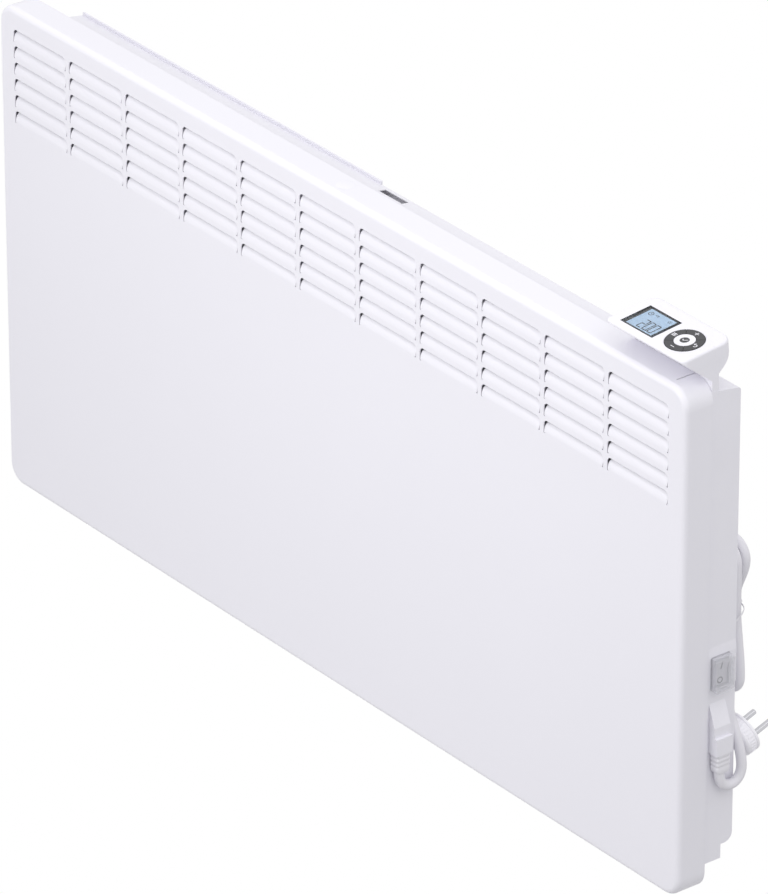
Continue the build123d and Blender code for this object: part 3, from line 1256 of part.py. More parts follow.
def heat_sink():
    body = on_board(SINK_SIZE, 2 * POST_INSET, 12 * POST_INSET)
    slot = SINK_SIZE[0] / (2 * SINK_FINS - 1)
    left = HOUSING_LEFT + BOARD_LEFT + 2 * POST_INSET
    low = BOTTOM + BOARD_LOW
    for k in range(SINK_FINS - 1):
        x = left + slot * (2 * k + 1)
        body -= block((x, x + slot), (BOARD_FRONT - 2 * SINK_SIZE[1], BOARD_FRONT - SINK_SIZE[1] / 5),
                      (low, BOTTOM + BOARD_HIGH))
    return body


def capacitor():
    x = HOUSING_LEFT + BOARD_LEFT + BOARD_WIDTH - CAPACITOR_RADIUS - 2 * POST_INSET
    z = BOTTOM + BOARD_LOW + 12 * POST_INSET
    body = rod((x, BOARD_FRONT - CAPACITOR_LENGTH, z), (x, BOARD_FRONT, z), CAPACITOR_RADIUS)
    return fillet(body.faces().sort_by(Axis.Y)[0].edges(), 0.8)


def terminal_block():
    x, z = terminal_place()
    rear = BACK - PLASTIC
    body = block((x, x + TERMINAL_SIZE[0]), (rear - TERMINAL_SIZE[1], rear), (z, z + TERMINAL_SIZE[2]))
    for k in range(3):
        hole_x = x + TERMINAL_SIZE[0] * (k + 0.5) / 3
        hole = rod((hole_x, rear - 2 * TERMINAL_SIZE[1], z + TERMINAL_SIZE[2] / 2),
                   (hole_x, rear - TERMINAL_SIZE[1] / 2, z + TERMINAL_SIZE[2] / 2), SCREW_RADIUS)
        body -= hole
    return body


def mains_leads():
    """The cord's three cores from its end in the clamp to the terminal block."""
    x, z = terminal_place()
    face = x + TERMINAL_SIZE[0]
    level = BACK - PLASTIC - 0.7 * TERMINAL_SIZE[1]
    spread = MAINS_HOLE - WIRE_RADIUS - 0.3
    cores = []
    for angle in (0, 120, 240):
        out = spread * cos(radians(angle))
        y = CORD_Y + spread * sin(radians(angle))
        inside = level + spread * sin(radians(angle))
        height = MAINS_LEVEL + out
        cores.append(wire([(CORD_X + out, y, CORD_END), (CORD_X + out, y, height),
                           (SIDE - 5, y, height), (SIDE - 14, inside, height), (face, inside, height)]))
    return Compound(cores)


def switch_leads():
    """The two leads from the switch to the power board."""
    back = PAD_FACE - SWITCH_BODY_DEPTH
    board = BOARD_FRONT - WIRE_RADIUS
    edge = HOUSING_LEFT + BOARD_LEFT + BOARD_WIDTH
    top = BOTTOM + BOARD_LOW
    leads = []
    for k in (0, 1):
        z = SWITCH_MIDDLE - 6 + 12 * k
        leads.append(wire([(back, SWITCH_Y, z), (back - 5, SWITCH_Y, z),
                           (edge - 10 - 5 * k, board - 2, top - 6), (edge - 13 - 5 * k, board, top + 6),
                           (edge - 14 - 5 * k, board, top + 18)]))
    return Compound(leads)


def sensor_place():
    """X and Y of the room sensor in the housing's floor."""
    return HOUSING_LEFT + SENSOR_LEFT, (SEAM + STEP_BACK - PLASTIC) / 2


def room_sensor():
    """The sensor that feels the incoming air, its tip through the housing's floor."""
    x, y = sensor_place()
    low = STEP_FLOOR - SENSOR_LENGTH / 3
    body = rod((x, y, low), (x, y, low + SENSOR_LENGTH), SENSOR_RADIUS)
    collar = rod((x, y, STEP_FLOOR + PLASTIC), (x, y, STEP_FLOOR + 2 * PLASTIC), 1.6 * SENSOR_RADIUS)
    return fillet(body.faces().sort_by(Axis.Z)[0].edges(), SENSOR_RADIUS / 2) + collar


def sensor_lead():
    x, y = sensor_place()
    start = STEP_FLOOR - SENSOR_LENGTH / 3 + SENSOR_LENGTH
    board = BOARD_FRONT - WIRE_RADIUS
    top = BOTTOM + BOARD_LOW + 3 * POST_INSET
    return wire([(x, y, start), (x, y, start + 40), (x + 4, board - 2, top - 40),
                 (x + 8, board, top - 20), (x + 8, board, top + 6)])


def ribbon_cable():
    """The flat cable from the control board down the neck to the power board."""
    front, back = neck_y()
    y = (front + back) / 2
    edge = y + RIBBON_THICK / 2
    along = (edge - HEAD.origin.Y + CONTROL_LOW * sin(radians(HEAD_TILT))) / cos(radians(HEAD_TILT))
    start = on_head(0, along - RIBBON_THICK, CONTROL_LOW)
    board = BOARD_FRONT - RIBBON_THICK / 2
    high = BOTTOM + BOARD_HIGH
    points = [(y, start.Z), (y, high + 22), (board, high + 8), (board, high - 3 * POST_INSET)]
    path = FilletPolyline(*[(0, p[0], p[1]) for p in points], radius=[6, 6])
    middle = HOUSING_LEFT + HOUSING_WIDTH / 2
    at = Plane(origin=path @ 0, x_dir=(1, 0, 0), z_dir=path % 0)
    return Pos(middle, 0, 0) * sweep(at * Rectangle(RIBBON_WIDTH, RIBBON_THICK), path=path)


def supply_cord():
    route = supply_route()
    return tube_along(route, CORD_DIAMETER / 2, corner_radii(route))


def plug_lead():
    route = plug_lead_route()
    return tube_along(route, CORD_DIAMETER / 2, corner_radii(route))


PARTS = {
    "front_casing": front_casing,
    "rear_casing": rear_casing,
    "inlet_grille": inlet_grille,
    "casing_screws": casing_screws,
    "electronics_housing": electronics_housing,
    "wall_bracket": wall_bracket,
    "bracket_catch": bracket_catch,
    "head_upper_shell": head_upper_shell,
    "head_lower_shell": head_lower_shell,
    "display_window": display_window,
    "display_frame": display_frame,
    "lcd_module": lcd_module,
    "control_board": control_board,
    "control_board_screws": control_board_screws,
    "key_mat": key_mat,
    "key_menu": lambda: ring_key(180),
    "key_minus": lambda: ring_key(270),
    "key_back": lambda: ring_key(0),
    "key_plus": lambda: ring_key(90),
    "key_ok": key_ok,
    "ok_inlay": ok_inlay,
    "ribbon_cable": ribbon_cable,
    "switch_body": switch_body,
    "switch_rocker": switch_rocker,
    "switch_cover": switch_cover,
    "cord_inlet_housing": cord_inlet_housing,
    "cord_inlet_screws": cord_inlet_screws,
    "cord_clamp": cord_clamp,
    "supply_cord": supply_cord,
    "cord_hank": cord_hank,
    "plug_lead": plug_lead,
    "cord_tie": cord_tie,
    "plug_body": plug_body,
    "plug_pins": plug_pins,
    "heating_element": heating_element,
    "element_tube": element_tube,
    "element_bushes": element_bushes,
    "element_bracket_left": lambda: element_bracket(bush_places()[0]),
    "element_bracket_right": lambda: element_bracket(bush_places()[1]),
    "heat_shield": heat_shield,
    "partition": partition,
    "lead_grommets": lead_grommets,
    "safety_cutout": safety_cutout,
    "element_leads": element_leads,
    "power_board": power_board,
    "power_board_screws": power_board_screws,
    "power_relay": power_relay,
    "heat_sink": heat_sink,
    "capacitor": capacitor,
    "terminal_block": terminal_block,
    "mains_leads": mains_leads,
    "switch_leads": switch_leads,
    "room_sensor": room_sensor,
    "sensor_lead": sensor_lead,
}


def report_cords():
    """Print each cord's radii, and its tube's volume beside section times length."""
    section = pi * (CORD_DIAMETER / 2) ** 2
    for name, route in (("supply_cord", supply_route()), ("plug_lead", plug_lead_route())):
        radii = corner_radii(route)
        path = FilletPolyline(*route, radius=radii)
        tube = tube_along(route, CORD_DIAMETER / 2, radii)
        print(name, "radii", [round(r, 1) for r in radii], "length", round(path.length, 1),
              "volume", round(tube.volume), "section x length", round(section * path.length))
    path = hank_path()
    print("cord_hank length", round(path.length, 1), "volume", round(cord_hank().volume),
          "section x length", round(section * path.length), "least own gap", round(own_gap(path), 2))


def main():
    os.makedirs("parts", exist_ok=True)
    for name, make in PARTS.items():
        export_step(make(), os.path.join("parts", name + ".step"))
    report_cords()


main()
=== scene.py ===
import json
from math import cos, pi, radians, sin

import bmesh
import bpy
from bpy.props import FloatProperty, FloatVectorProperty, PointerProperty
from mathutils import Matrix, Vector


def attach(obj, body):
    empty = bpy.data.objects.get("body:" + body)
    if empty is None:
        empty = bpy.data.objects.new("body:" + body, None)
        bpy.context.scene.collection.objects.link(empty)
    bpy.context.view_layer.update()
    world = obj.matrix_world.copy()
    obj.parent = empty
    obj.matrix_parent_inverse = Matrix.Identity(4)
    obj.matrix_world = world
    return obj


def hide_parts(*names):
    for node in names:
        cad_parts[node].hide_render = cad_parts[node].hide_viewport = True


bl_info = {
    "name": "Wall panel convector heater",
    "version": (1, 0, 0),
    "blender": (4, 5, 0),
    "location": "View3D > Sidebar > Heater",
    "description": "Dresses the heater's fixed frame with its finishes, cord, marks and stage",
    "category": "Object",
}

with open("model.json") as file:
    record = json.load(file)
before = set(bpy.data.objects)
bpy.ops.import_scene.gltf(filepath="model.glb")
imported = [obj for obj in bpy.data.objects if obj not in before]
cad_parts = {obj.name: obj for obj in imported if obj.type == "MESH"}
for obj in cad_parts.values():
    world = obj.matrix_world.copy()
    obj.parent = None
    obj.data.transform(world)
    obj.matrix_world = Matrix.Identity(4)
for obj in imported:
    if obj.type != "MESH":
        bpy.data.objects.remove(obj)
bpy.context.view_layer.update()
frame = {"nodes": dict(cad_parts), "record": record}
NODES = frame["nodes"]
HEATER = "heater"

# ---------------------------------------------------------------- places, metres
MM = 0.001
HEAD_TILT = radians(5.8)
HEAD_UP = Vector((0.0, -sin(HEAD_TILT), cos(HEAD_TILT)))
HEAD_BACKWARD = Vector((0.0, cos(HEAD_TILT), sin(HEAD_TILT)))
SIDEWAYS = Vector((1.0, 0.0, 0.0))
HEAD_ORIGIN = Vector((0.39775, -0.1015, 0.2508))
DISPLAY_MIDDLE = (-18.3 * MM, 22.05 * MM)
DISPLAY_TOP = -0.8 * MM
RING_MIDDLE = (22.65 * MM, 21.4 * MM)
KEY_MIDDLE = 12.3 * MM              # from the ring's middle to the middle of a key
KEY_TOP = 0.5 * MM
PRINT = 0.04 * MM                   # thickness of printed marks
PLUG_LEAN = radians(20.0)
PLUG_TURN = radians(45.0)
PIN_WAY = Vector((0.0, cos(PLUG_LEAN), sin(PLUG_LEAN)))
UPRIGHT_WAY = Vector((0.0, -sin(PLUG_LEAN), cos(PLUG_LEAN)))
NOZZLE_WAY = UPRIGHT_WAY * cos(PLUG_TURN) - SIDEWAYS * sin(PLUG_TURN)
PLUG_FACE = Vector((0.4295, -0.0193, -0.1056))
PLUG_RADIUS = 17.5 * MM
PLUG_THICK = 13.5 * MM
NOZZLE_LENGTH = 6.0 * MM
SWITCH_PIVOT = Vector((0.441, -0.0603, -0.0313))
SWITCH_ROCK = radians(8.0)          # lean of the rocker either way
ROCKER_DEPTH = 5.0 * MM
RELIEF_X = 0.4504                   # middle of the strain relief
RELIEF_Y = -0.0622
RELIEF_TOP = -0.1010
RELIEF_LOW = -0.1180
BADGE_PLACE = Vector((0.0049, -0.0846, 0.225))


# ---------------------------------------------------------------- settings
class HeaterColours(bpy.types.PropertyGroup):
    """Colours of the heater's finishes, as linear values."""

    casing: FloatVectorProperty(
        name="Casing", description="Powder coat of the front casing",
        subtype="COLOR", size=3, min=0.0, max=1.0, default=(0.80, 0.79, 0.85))
    rear: FloatVectorProperty(
        name="Rear casing", description="Paint of the rear casing and the wall bracket",
        subtype="COLOR", size=3, min=0.0, max=1.0, default=(0.80, 0.79, 0.85))
    moulding: FloatVectorProperty(
        name="White mouldings", description="Plastic of the electronics housing and the head",
        subtype="COLOR", size=3, min=0.0, max=1.0, default=(0.81, 0.80, 0.86))
    key: FloatVectorProperty(
        name="Dark keys", description="Plastic of the round button",
        subtype="COLOR", size=3, min=0.0, max=1.0, default=(0.055, 0.055, 0.06))
    switch: FloatVectorProperty(
        name="Switch", description="Plastic of the rocker switch",
        subtype="COLOR", size=3, min=0.0, max=1.0, default=(0.66, 0.65, 0.70))
    jacket: FloatVectorProperty(
        name="Cord", description="Jacket of the mains cord and its plug",
        subtype="COLOR", size=3, min=0.0, max=1.0, default=(0.76, 0.75, 0.80))
    display: FloatVectorProperty(
        name="Display", description="Lit field of the display",
        subtype="COLOR", size=3, min=0.0, max=1.0, default=(0.43, 0.57, 0.74))


class HeaterSizes(bpy.types.PropertyGroup):
    """Sizes of the pieces that are added to the frame."""

    cord: FloatProperty(
        name="Cord diameter", description="Outer diameter of the mains cord",
        unit="LENGTH", precision=4, min=0.006, max=0.010, default=8.4 * MM)
    digit_height: FloatProperty(
        name="Digit height", description="Height of the display's large digits",
        unit="LENGTH", precision=4, min=0.004, max=0.016, default=11.4 * MM)
    mark: FloatProperty(
        name="Key mark", description="Length of the marks on the round button",
        unit="LENGTH", precision=4, min=0.001, max=0.006, default=4.2 * MM)


class StageSettings(bpy.types.PropertyGroup):
    """Light, floor and camera."""

    sky: FloatProperty(
        name="Soft light", description="Strength of the even light from all round",
        min=0.0, max=2.0, default=0.67)
    zenith: FloatProperty(
        name="Light from above", description="How much stronger the even light is straight above",
        min=0.0, max=2.0, default=0.46)
    key_light: FloatProperty(
        name="Overhead light", description="Power of the broad lamp over the front",
        unit="POWER", min=0.0, max=2000.0, default=6.9)
    side_light: FloatProperty(
        name="Side light", description="Power of the soft lamp above the right end",
        unit="POWER", min=0.0, max=2000.0, default=3.5)
    floor_drop: FloatProperty(
        name="Floor", description="Height of the floor under the wall bracket's middle",
        unit="LENGTH", min=-3.0, max=-0.3, default=-0.85)
    lens: FloatProperty(
        name="Lens", description="Focal length of the camera in millimetres",
        min=50.0, max=500.0, default=350.84)


# ---------------------------------------------------------------- materials
def node(tree, kind, **values):
    """A new shader node with its properties and inputs set."""
    made = tree.nodes.new(kind)
    for name, value in values.items():
        if name in made.inputs:
            made.inputs[name].default_value = value
        else:
            setattr(made, name, value)
    return made


def shades(tree, factor, low, high, start=0.3, end=0.7):
    """A colour ramp between two near shades."""
    ramp = node(tree, "ShaderNodeValToRGB")
    for element, position, colour in zip(ramp.color_ramp.elements, (start, end), (low, high)):
        element.position = position
        element.color = (*colour, 1.0)
    tree.links.new(factor, ramp.inputs["Fac"])
    return ramp.outputs["Color"]


def finish_material(name, colour, roughness, grain, depth, mottle=0.02, patch=14.0,
                    metallic=0.0, wear=0.05, coat=0.0, stretch=(1.0, 1.0, 1.0)):
    """A surface with fine grain, slow shade variation and uneven gloss, from Object coordinates.

    grain and patch are the fine and the slow noise's scale, depth is the grain's height in
    metres, and mottle and wear are how far the colour and the roughness vary either way.
    """
    material = bpy.data.materials.new(name)
    material.use_nodes = True
    tree = material.node_tree
    shader = tree.nodes["Principled BSDF"]
    shader.inputs["Metallic"].default_value = metallic
    shader.inputs["Coat Weight"].default_value = coat
    place = node(tree, "ShaderNodeTexCoord")
    scaled = node(tree, "ShaderNodeMapping")
    scaled.inputs["Scale"].default_value = stretch
    tree.links.new(place.outputs["Object"], scaled.inputs["Vector"])
    slow = node(tree, "ShaderNodeTexNoise", Scale=patch, Detail=3.0)
    fine = node(tree, "ShaderNodeTexNoise", Scale=grain, Detail=2.0)
    for noise in (slow, fine):
        tree.links.new(scaled.outputs["Vector"], noise.inputs["Vector"])
    low = [max(0.0, c * (1.0 - mottle)) for c in colour]
    high = [min(1.0, c * (1.0 + mottle)) for c in colour]
    tree.links.new(shades(tree, slow.outputs["Fac"], low, high), shader.inputs["Base Color"])
    gloss = node(tree, "ShaderNodeMapRange")
    gloss.inputs["To Min"].default_value = roughness - wear
    gloss.inputs["To Max"].default_value = roughness + wear
    tree.links.new(slow.outputs["Fac"], gloss.inputs["Value"])
    tree.links.new(gloss.outputs["Result"], shader.inputs["Roughness"])
    bump = node(tree, "ShaderNodeBump", Distance=depth, Strength=1.0)
    tree.links.new(fine.outputs["Fac"], bump.inputs["Height"])
    tree.links.new(bump.outputs["Normal"], shader.inputs["Normal"])
    return material


def powder_coat(name, colour):
    """Semi-gloss white powder coat with a faint orange peel."""
    return finish_material(name, colour, roughness=0.42, grain=900.0, depth=0.000012,
                           mottle=0.006, patch=5.0)


def moulded(name, colour, roughness=0.5, depth=0.00003):
    """Moulded plastic with a fine sparked grain."""
    return finish_material(name, colour, roughness, grain=2600.0, depth=depth,
                           mottle=0.012, patch=22.0)


def steel(name, colour, roughness=0.35):
    """Bare sheet or turned metal with rolling marks along X."""
    return finish_material(name, colour, roughness, grain=700.0, depth=0.00001, mottle=0.06,
                           metallic=1.0, wear=0.1, stretch=(0.05, 1.0, 1.0))


def clear_cover(name):
    """Thin clear cover over the display, with faint smudges in its gloss."""
    material = bpy.data.materials.new(name)
    material.use_nodes = True
    tree = material.node_tree
    shader = tree.nodes["Principled BSDF"]
    shader.inputs["Transmission Weight"].default_value = 1.0
    shader.inputs["IOR"].default_value = 1.2
    place = node(tree, "ShaderNodeTexCoord")
    smudge = node(tree, "ShaderNodeTexNoise", Scale=90.0, Detail=2.0)
    tree.links.new(place.outputs["Object"], smudge.inputs["Vector"])
    gloss = node(tree, "ShaderNodeMapRange")
    gloss.inputs["To Min"].default_value = 0.02
    gloss.inputs["To Max"].default_value = 0.10
    tree.links.new(smudge.outputs["Fac"], gloss.inputs["Value"])
    tree.links.new(gloss.outputs["Result"], shader.inputs["Roughness"])
    tree.links.new(shades(tree, smudge.outputs["Fac"], (0.93, 0.95, 0.97), (0.97, 0.98, 0.99)),
                   shader.inputs["Base Color"])
    return material


def soft_cap(name, colour):
    """Half clear flexible cap, its gloss uneven."""
    material = finish_material(name, colour, roughness=0.18, grain=1400.0, depth=0.00002,
                               patch=60.0, coat=0.5)
    shader = material.node_tree.nodes["Principled BSDF"]
    shader.inputs["Alpha"].default_value = 0.3
    return material


def lit_display(name, colour):
    """Pale backlit field, slightly uneven, with a very fine grain."""
    material = finish_material(name, colour, roughness=0.35, grain=5000.0, depth=0.000004,
                               mottle=0.05, patch=40.0)
    shader = material.node_tree.nodes["Principled BSDF"]
    shader.inputs["Emission Color"].default_value = (*colour, 1.0)
    shader.inputs["Emission Strength"].default_value = 0.15
    return material


def build_materials():
    """Every finish by its slot's name."""
    colours = bpy.context.scene.heater_colours
    white = tuple(colours.moulding)
    dark = tuple(colours.key)
    jacket = tuple(colours.jacket)
    return {
        "white_paint": powder_coat("white_paint", tuple(colours.casing)),
        "rear_paint": powder_coat("rear_paint", tuple(colours.rear)),
        "white_plastic": moulded("white_plastic", white),
        "galvanised": steel("galvanised", (0.62, 0.63, 0.65), 0.4),
        "screw_steel": steel("screw_steel", (0.55, 0.55, 0.56), 0.3),
        "dark_keys": moulded("dark_keys", dark, 0.55),
        "white_key": moulded("white_key", white, 0.45),
        "display_cover": clear_cover("display_cover"),
        "display_mask": moulded("display_mask", (0.02, 0.022, 0.028), 0.25, 0.000008),
        "lcd": lit_display("lcd", tuple(colours.display)),
        "board_green": moulded("board_green", (0.01, 0.09, 0.03), 0.4),
        "mat_rubber": moulded("mat_rubber", (0.10, 0.10, 0.11), 0.7),
        "ribbon": moulded("ribbon", (0.32, 0.33, 0.35), 0.5),
        "switch_cover": soft_cap("switch_cover", (0.78, 0.78, 0.83)),
        "switch_grey": moulded("switch_grey", tuple(colours.switch), 0.42),
        "catch_plastic": moulded("catch_plastic", (0.76, 0.75, 0.80), 0.45),
        "cord_jacket": moulded("cord_jacket", jacket, 0.55, 0.00005),
        "tie_plastic": moulded("tie_plastic", (0.80, 0.79, 0.83), 0.4),
        "plug_plastic": moulded("plug_plastic", (0.92, 0.91, 0.96), 0.5),
        "plug_metal": steel("plug_metal", (0.58, 0.58, 0.61), 0.2),
        "element_aluminium": steel("element_aluminium", (0.66, 0.66, 0.67), 0.35),
        "tube_steel": steel("tube_steel", (0.33, 0.31, 0.28), 0.5),
        "ceramic": moulded("ceramic", (0.70, 0.66, 0.58), 0.6),
        "cutout_body": moulded("cutout_body", (0.02, 0.02, 0.02), 0.5),
        "wire_silicone": moulded("wire_silicone", (0.45, 0.08, 0.05), 0.5),
        "relay_black": moulded("relay_black", (0.012, 0.012, 0.013), 0.4),
        "sink_aluminium": steel("sink_aluminium", (0.5, 0.5, 0.5), 0.4),
        "capacitor_blue": moulded("capacitor_blue", (0.02, 0.03, 0.10), 0.25),
        "terminal_white": moulded("terminal_white", (0.68, 0.68, 0.64), 0.45),
    }


MATERIALS = {}


def paint(piece, slot):
    """Gives a piece the finish of a slot of the record."""
    piece.data.materials.clear()
    piece.data.materials.append(MATERIALS[slot])


# ---------------------------------------------------------------- mesh helpers
def finish_piece(name, shape, slot, body=HEATER, matrix=None, smooth=40.0):
    """Turns a bmesh into a piece that rides on a body, its place in its mesh."""
    bmesh.ops.remove_doubles(shape, verts=shape.verts, dist=1e-6)
    bmesh.ops.recalc_face_normals(shape, faces=shape.faces)
    if matrix is not None:
        bmesh.ops.transform(shape, matrix=matrix, verts=shape.verts)
    mesh = bpy.data.meshes.new(name)
    shape.to_mesh(mesh)
    shape.free()
    piece = bpy.data.objects.new(name, mesh)
    bpy.context.scene.collection.objects.link(piece)
    mesh.shade_smooth()
    mesh.set_sharp_from_angle(angle=radians(smooth))
    paint(piece, slot)
    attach(piece, body)
    return piece


def axes_at(place, sideways, up):
    """The matrix that takes a shape drawn along X and Z to a place on the object."""
    across = up.cross(sideways).normalized()
    turn = Matrix((sideways.normalized(), across, up.normalized())).transposed()
    return Matrix.Translation(place) @ turn.to_4x4()


def turned(shape, profile, segments=64):
    """Adds a turned form to a bmesh from (radius, height) points about Z."""
    points = [shape.verts.new((r, 0.0, z)) for r, z in profile]
    edges = [shape.edges.new(pair) for pair in zip(points, points[1:])]
    bmesh.ops.spin(shape, geom=points + edges, cent=(0, 0, 0), axis=(0, 0, 1),
                   angle=2 * pi, steps=segments, use_merge=True)


def bar(shape, size, place=(0, 0, 0), turn=0.0, soften=0.0):
    """Adds a softened bar, sized along X, Y and Z, turned about Z and put at a place."""
    made = bmesh.ops.create_cube(shape, size=1.0)
    move = Matrix.Translation(place) @ Matrix.Rotation(turn, 4, "Z") @ Matrix.Diagonal((*size, 1.0))
    bmesh.ops.transform(shape, matrix=move, verts=made["verts"])
    if soften:
        edges = list({e for v in made["verts"] for e in v.link_edges})
        bmesh.ops.bevel(shape, geom=edges, offset=soften, segments=2, affect="EDGES",
                        profile=0.5, material=-1)


# ---------------------------------------------------------------- operators
class HEATER_OT_finishes(bpy.types.Operator):
    """Give every carried-over node of the frame its finish"""

    bl_idname = "heater.finishes"
    bl_label = "Finishes"

    def execute(self, context):
        MATERIALS.update(build_materials())
        slots = {row["node"]: row["material_slot"] for row in frame["record"]["subparts"]}
        for name, piece in NODES.items():
            paint(piece, slots[name])
        return {"FINISHED"}


# the cord's listed points, from the clamp to the hank and from the hank to the plug
CLAMP_TO_HANK = [
    (0.4504, -0.0635, -0.1135), (0.4504, -0.0635, -0.1250), (0.4504, -0.0565, -0.1336),
    (0.4502, -0.0460, -0.1336), (0.4502, -0.0394, -0.1255), (0.4484, -0.0394, -0.1110),
    (0.4424, -0.0394, -0.0965), (0.4338, -0.0389, -0.0835), (0.4285, -0.0380, -0.0700)]
HANK_TO_PLUG = [
    (0.3865, -0.0194, -0.0640), (0.3890, -0.0245, -0.0720), (0.3950, -0.0305, -0.0775),
    (0.4015, -0.0343, -0.0816)]
# each run as wound: X at its lower end, waist and upper end, and the layer where it starts and ends
HANK_RUNS = (
    (0.4285, 0.4240, 0.4270, 0, 0), (0.4076, 0.4030, 0.4010, 0, 1), (0.4326, 0.4262, 0.4264, 1, 1),
    (0.3960, 0.4020, 0.4000, 1, 2), (0.4205, 0.4145, 0.4255, 2, 2), (0.3865, 0.3880, 0.3973, 2, 2))
HANK_LAYERS = (-0.0380, -0.0287, -0.0194)
HANK_LOW = -0.054
HANK_WAIST = 0.008
HANK_HIGH = 0.044
RUN_STEPS = 6
TURN_STEPS = 14
LEAD_STRAIGHT = 8.0 * MM            # out of the plug's nozzle before the lead bends


def eased(start, end, steps):
    """Points from one place to another that leave and arrive upright, without the last."""
    points = []
    for step in range(steps):
        share = step / steps
        smooth = share * share * (3 - 2 * share)
        points.append((start[0] + (end[0] - start[0]) * smooth, start[1] + (end[1] - start[1]) * smooth,
                       start[2] + (end[2] - start[2]) * share))
    return points


def hank_points():
    """Points of the hank's runs and half turns."""
    points = []
    rows = []
    for k, (low, waist, high, first, last) in enumerate(HANK_RUNS):
        ends = [(low, HANK_LOW), (high, HANK_HIGH)]
        if k % 2:
            ends.reverse()
        start = (ends[0][0], HANK_LAYERS[first], ends[0][1])
        end = (ends[1][0], HANK_LAYERS[last], ends[1][1])
        rows.append((start, (waist, (start[1] + end[1]) / 2, HANK_WAIST), end))
    for k, (start, waist, end) in enumerate(rows):
        points += eased(start, waist, RUN_STEPS) + eased(waist, end, RUN_STEPS)
        points.append(end)
        if k + 1 < len(rows):
            middle = (end[0] + rows[k + 1][0][0]) / 2
            reach = (rows[k + 1][0][0] - end[0]) / 2
            way = -1 if k % 2 else 1
            for step in range(1, TURN_STEPS):
                angle = pi * step / TURN_STEPS
                points.append((middle - reach * cos(angle), end[1],
                               end[2] + way * abs(reach) * sin(angle)))
    return points


TIE_THICK = 0.8 * MM
TIE_TALL = 1.5 * MM
# middle line of the thin band that hangs askew round the hank, in millimetres
TIE_LOOP = [
    (405.0, -14.3, 1.0), (390.0, -14.3, 0.0), (383.5, -17.5, -2.0), (384.0, -23.0, -4.0),
    (394.0, -36.0, -7.0), (399.5, -41.3, -8.0), (404.0, -42.8, -8.0), (415.0, -42.8, -7.0),
    (424.5, -42.8, -6.0), (430.0, -39.5, -4.5), (432.4, -34.5, -2.6), (433.4, -29.5, 2.0),
    (432.5, -25.7, 5.5), (429.0, -23.3, 6.2), (424.0, -21.0, 5.6), (420.0, -18.3, 4.5),
    (416.0, -14.3, 3.0)]


def smooth_loop(points, steps=6):
    """A closed line of points with a smooth curve through all of them."""
    count = len(points)
    line = []
    for k in range(count):
        a, b, c, d = (Vector(points[(k + n) % count]) for n in (-1, 0, 1, 2))
        for step in range(steps):
            t = step / steps
            line.append(0.5 * (2 * b + (c - a) * t + (2 * a - 5 * b + 4 * c - d) * t ** 2
                               + (3 * b - a - 3 * c + d) * t ** 3))
    return line


def band(shape, line, thick, tall, sides=8):
    """Adds an oval band along a closed line, tall along Z, to a bmesh."""
    rings = []
    for k, here in enumerate(line):
        along = (line[(k + 1) % len(line)] - line[k - 1]).normalized()
        out = along.cross(Vector((0.0, 0.0, 1.0))).normalized()
        up = out.cross(along)
        rings.append([shape.verts.new(here + out * thick / 2 * cos(2 * pi * n / sides)
                                      + up * tall / 2 * sin(2 * pi * n / sides)) for n in range(sides)])
    for k in range(len(rings)):
        one, two = rings[k - 1], rings[k]
        for n in range(sides):
            shape.faces.new((one[n - 1], one[n], two[n], two[n - 1]))


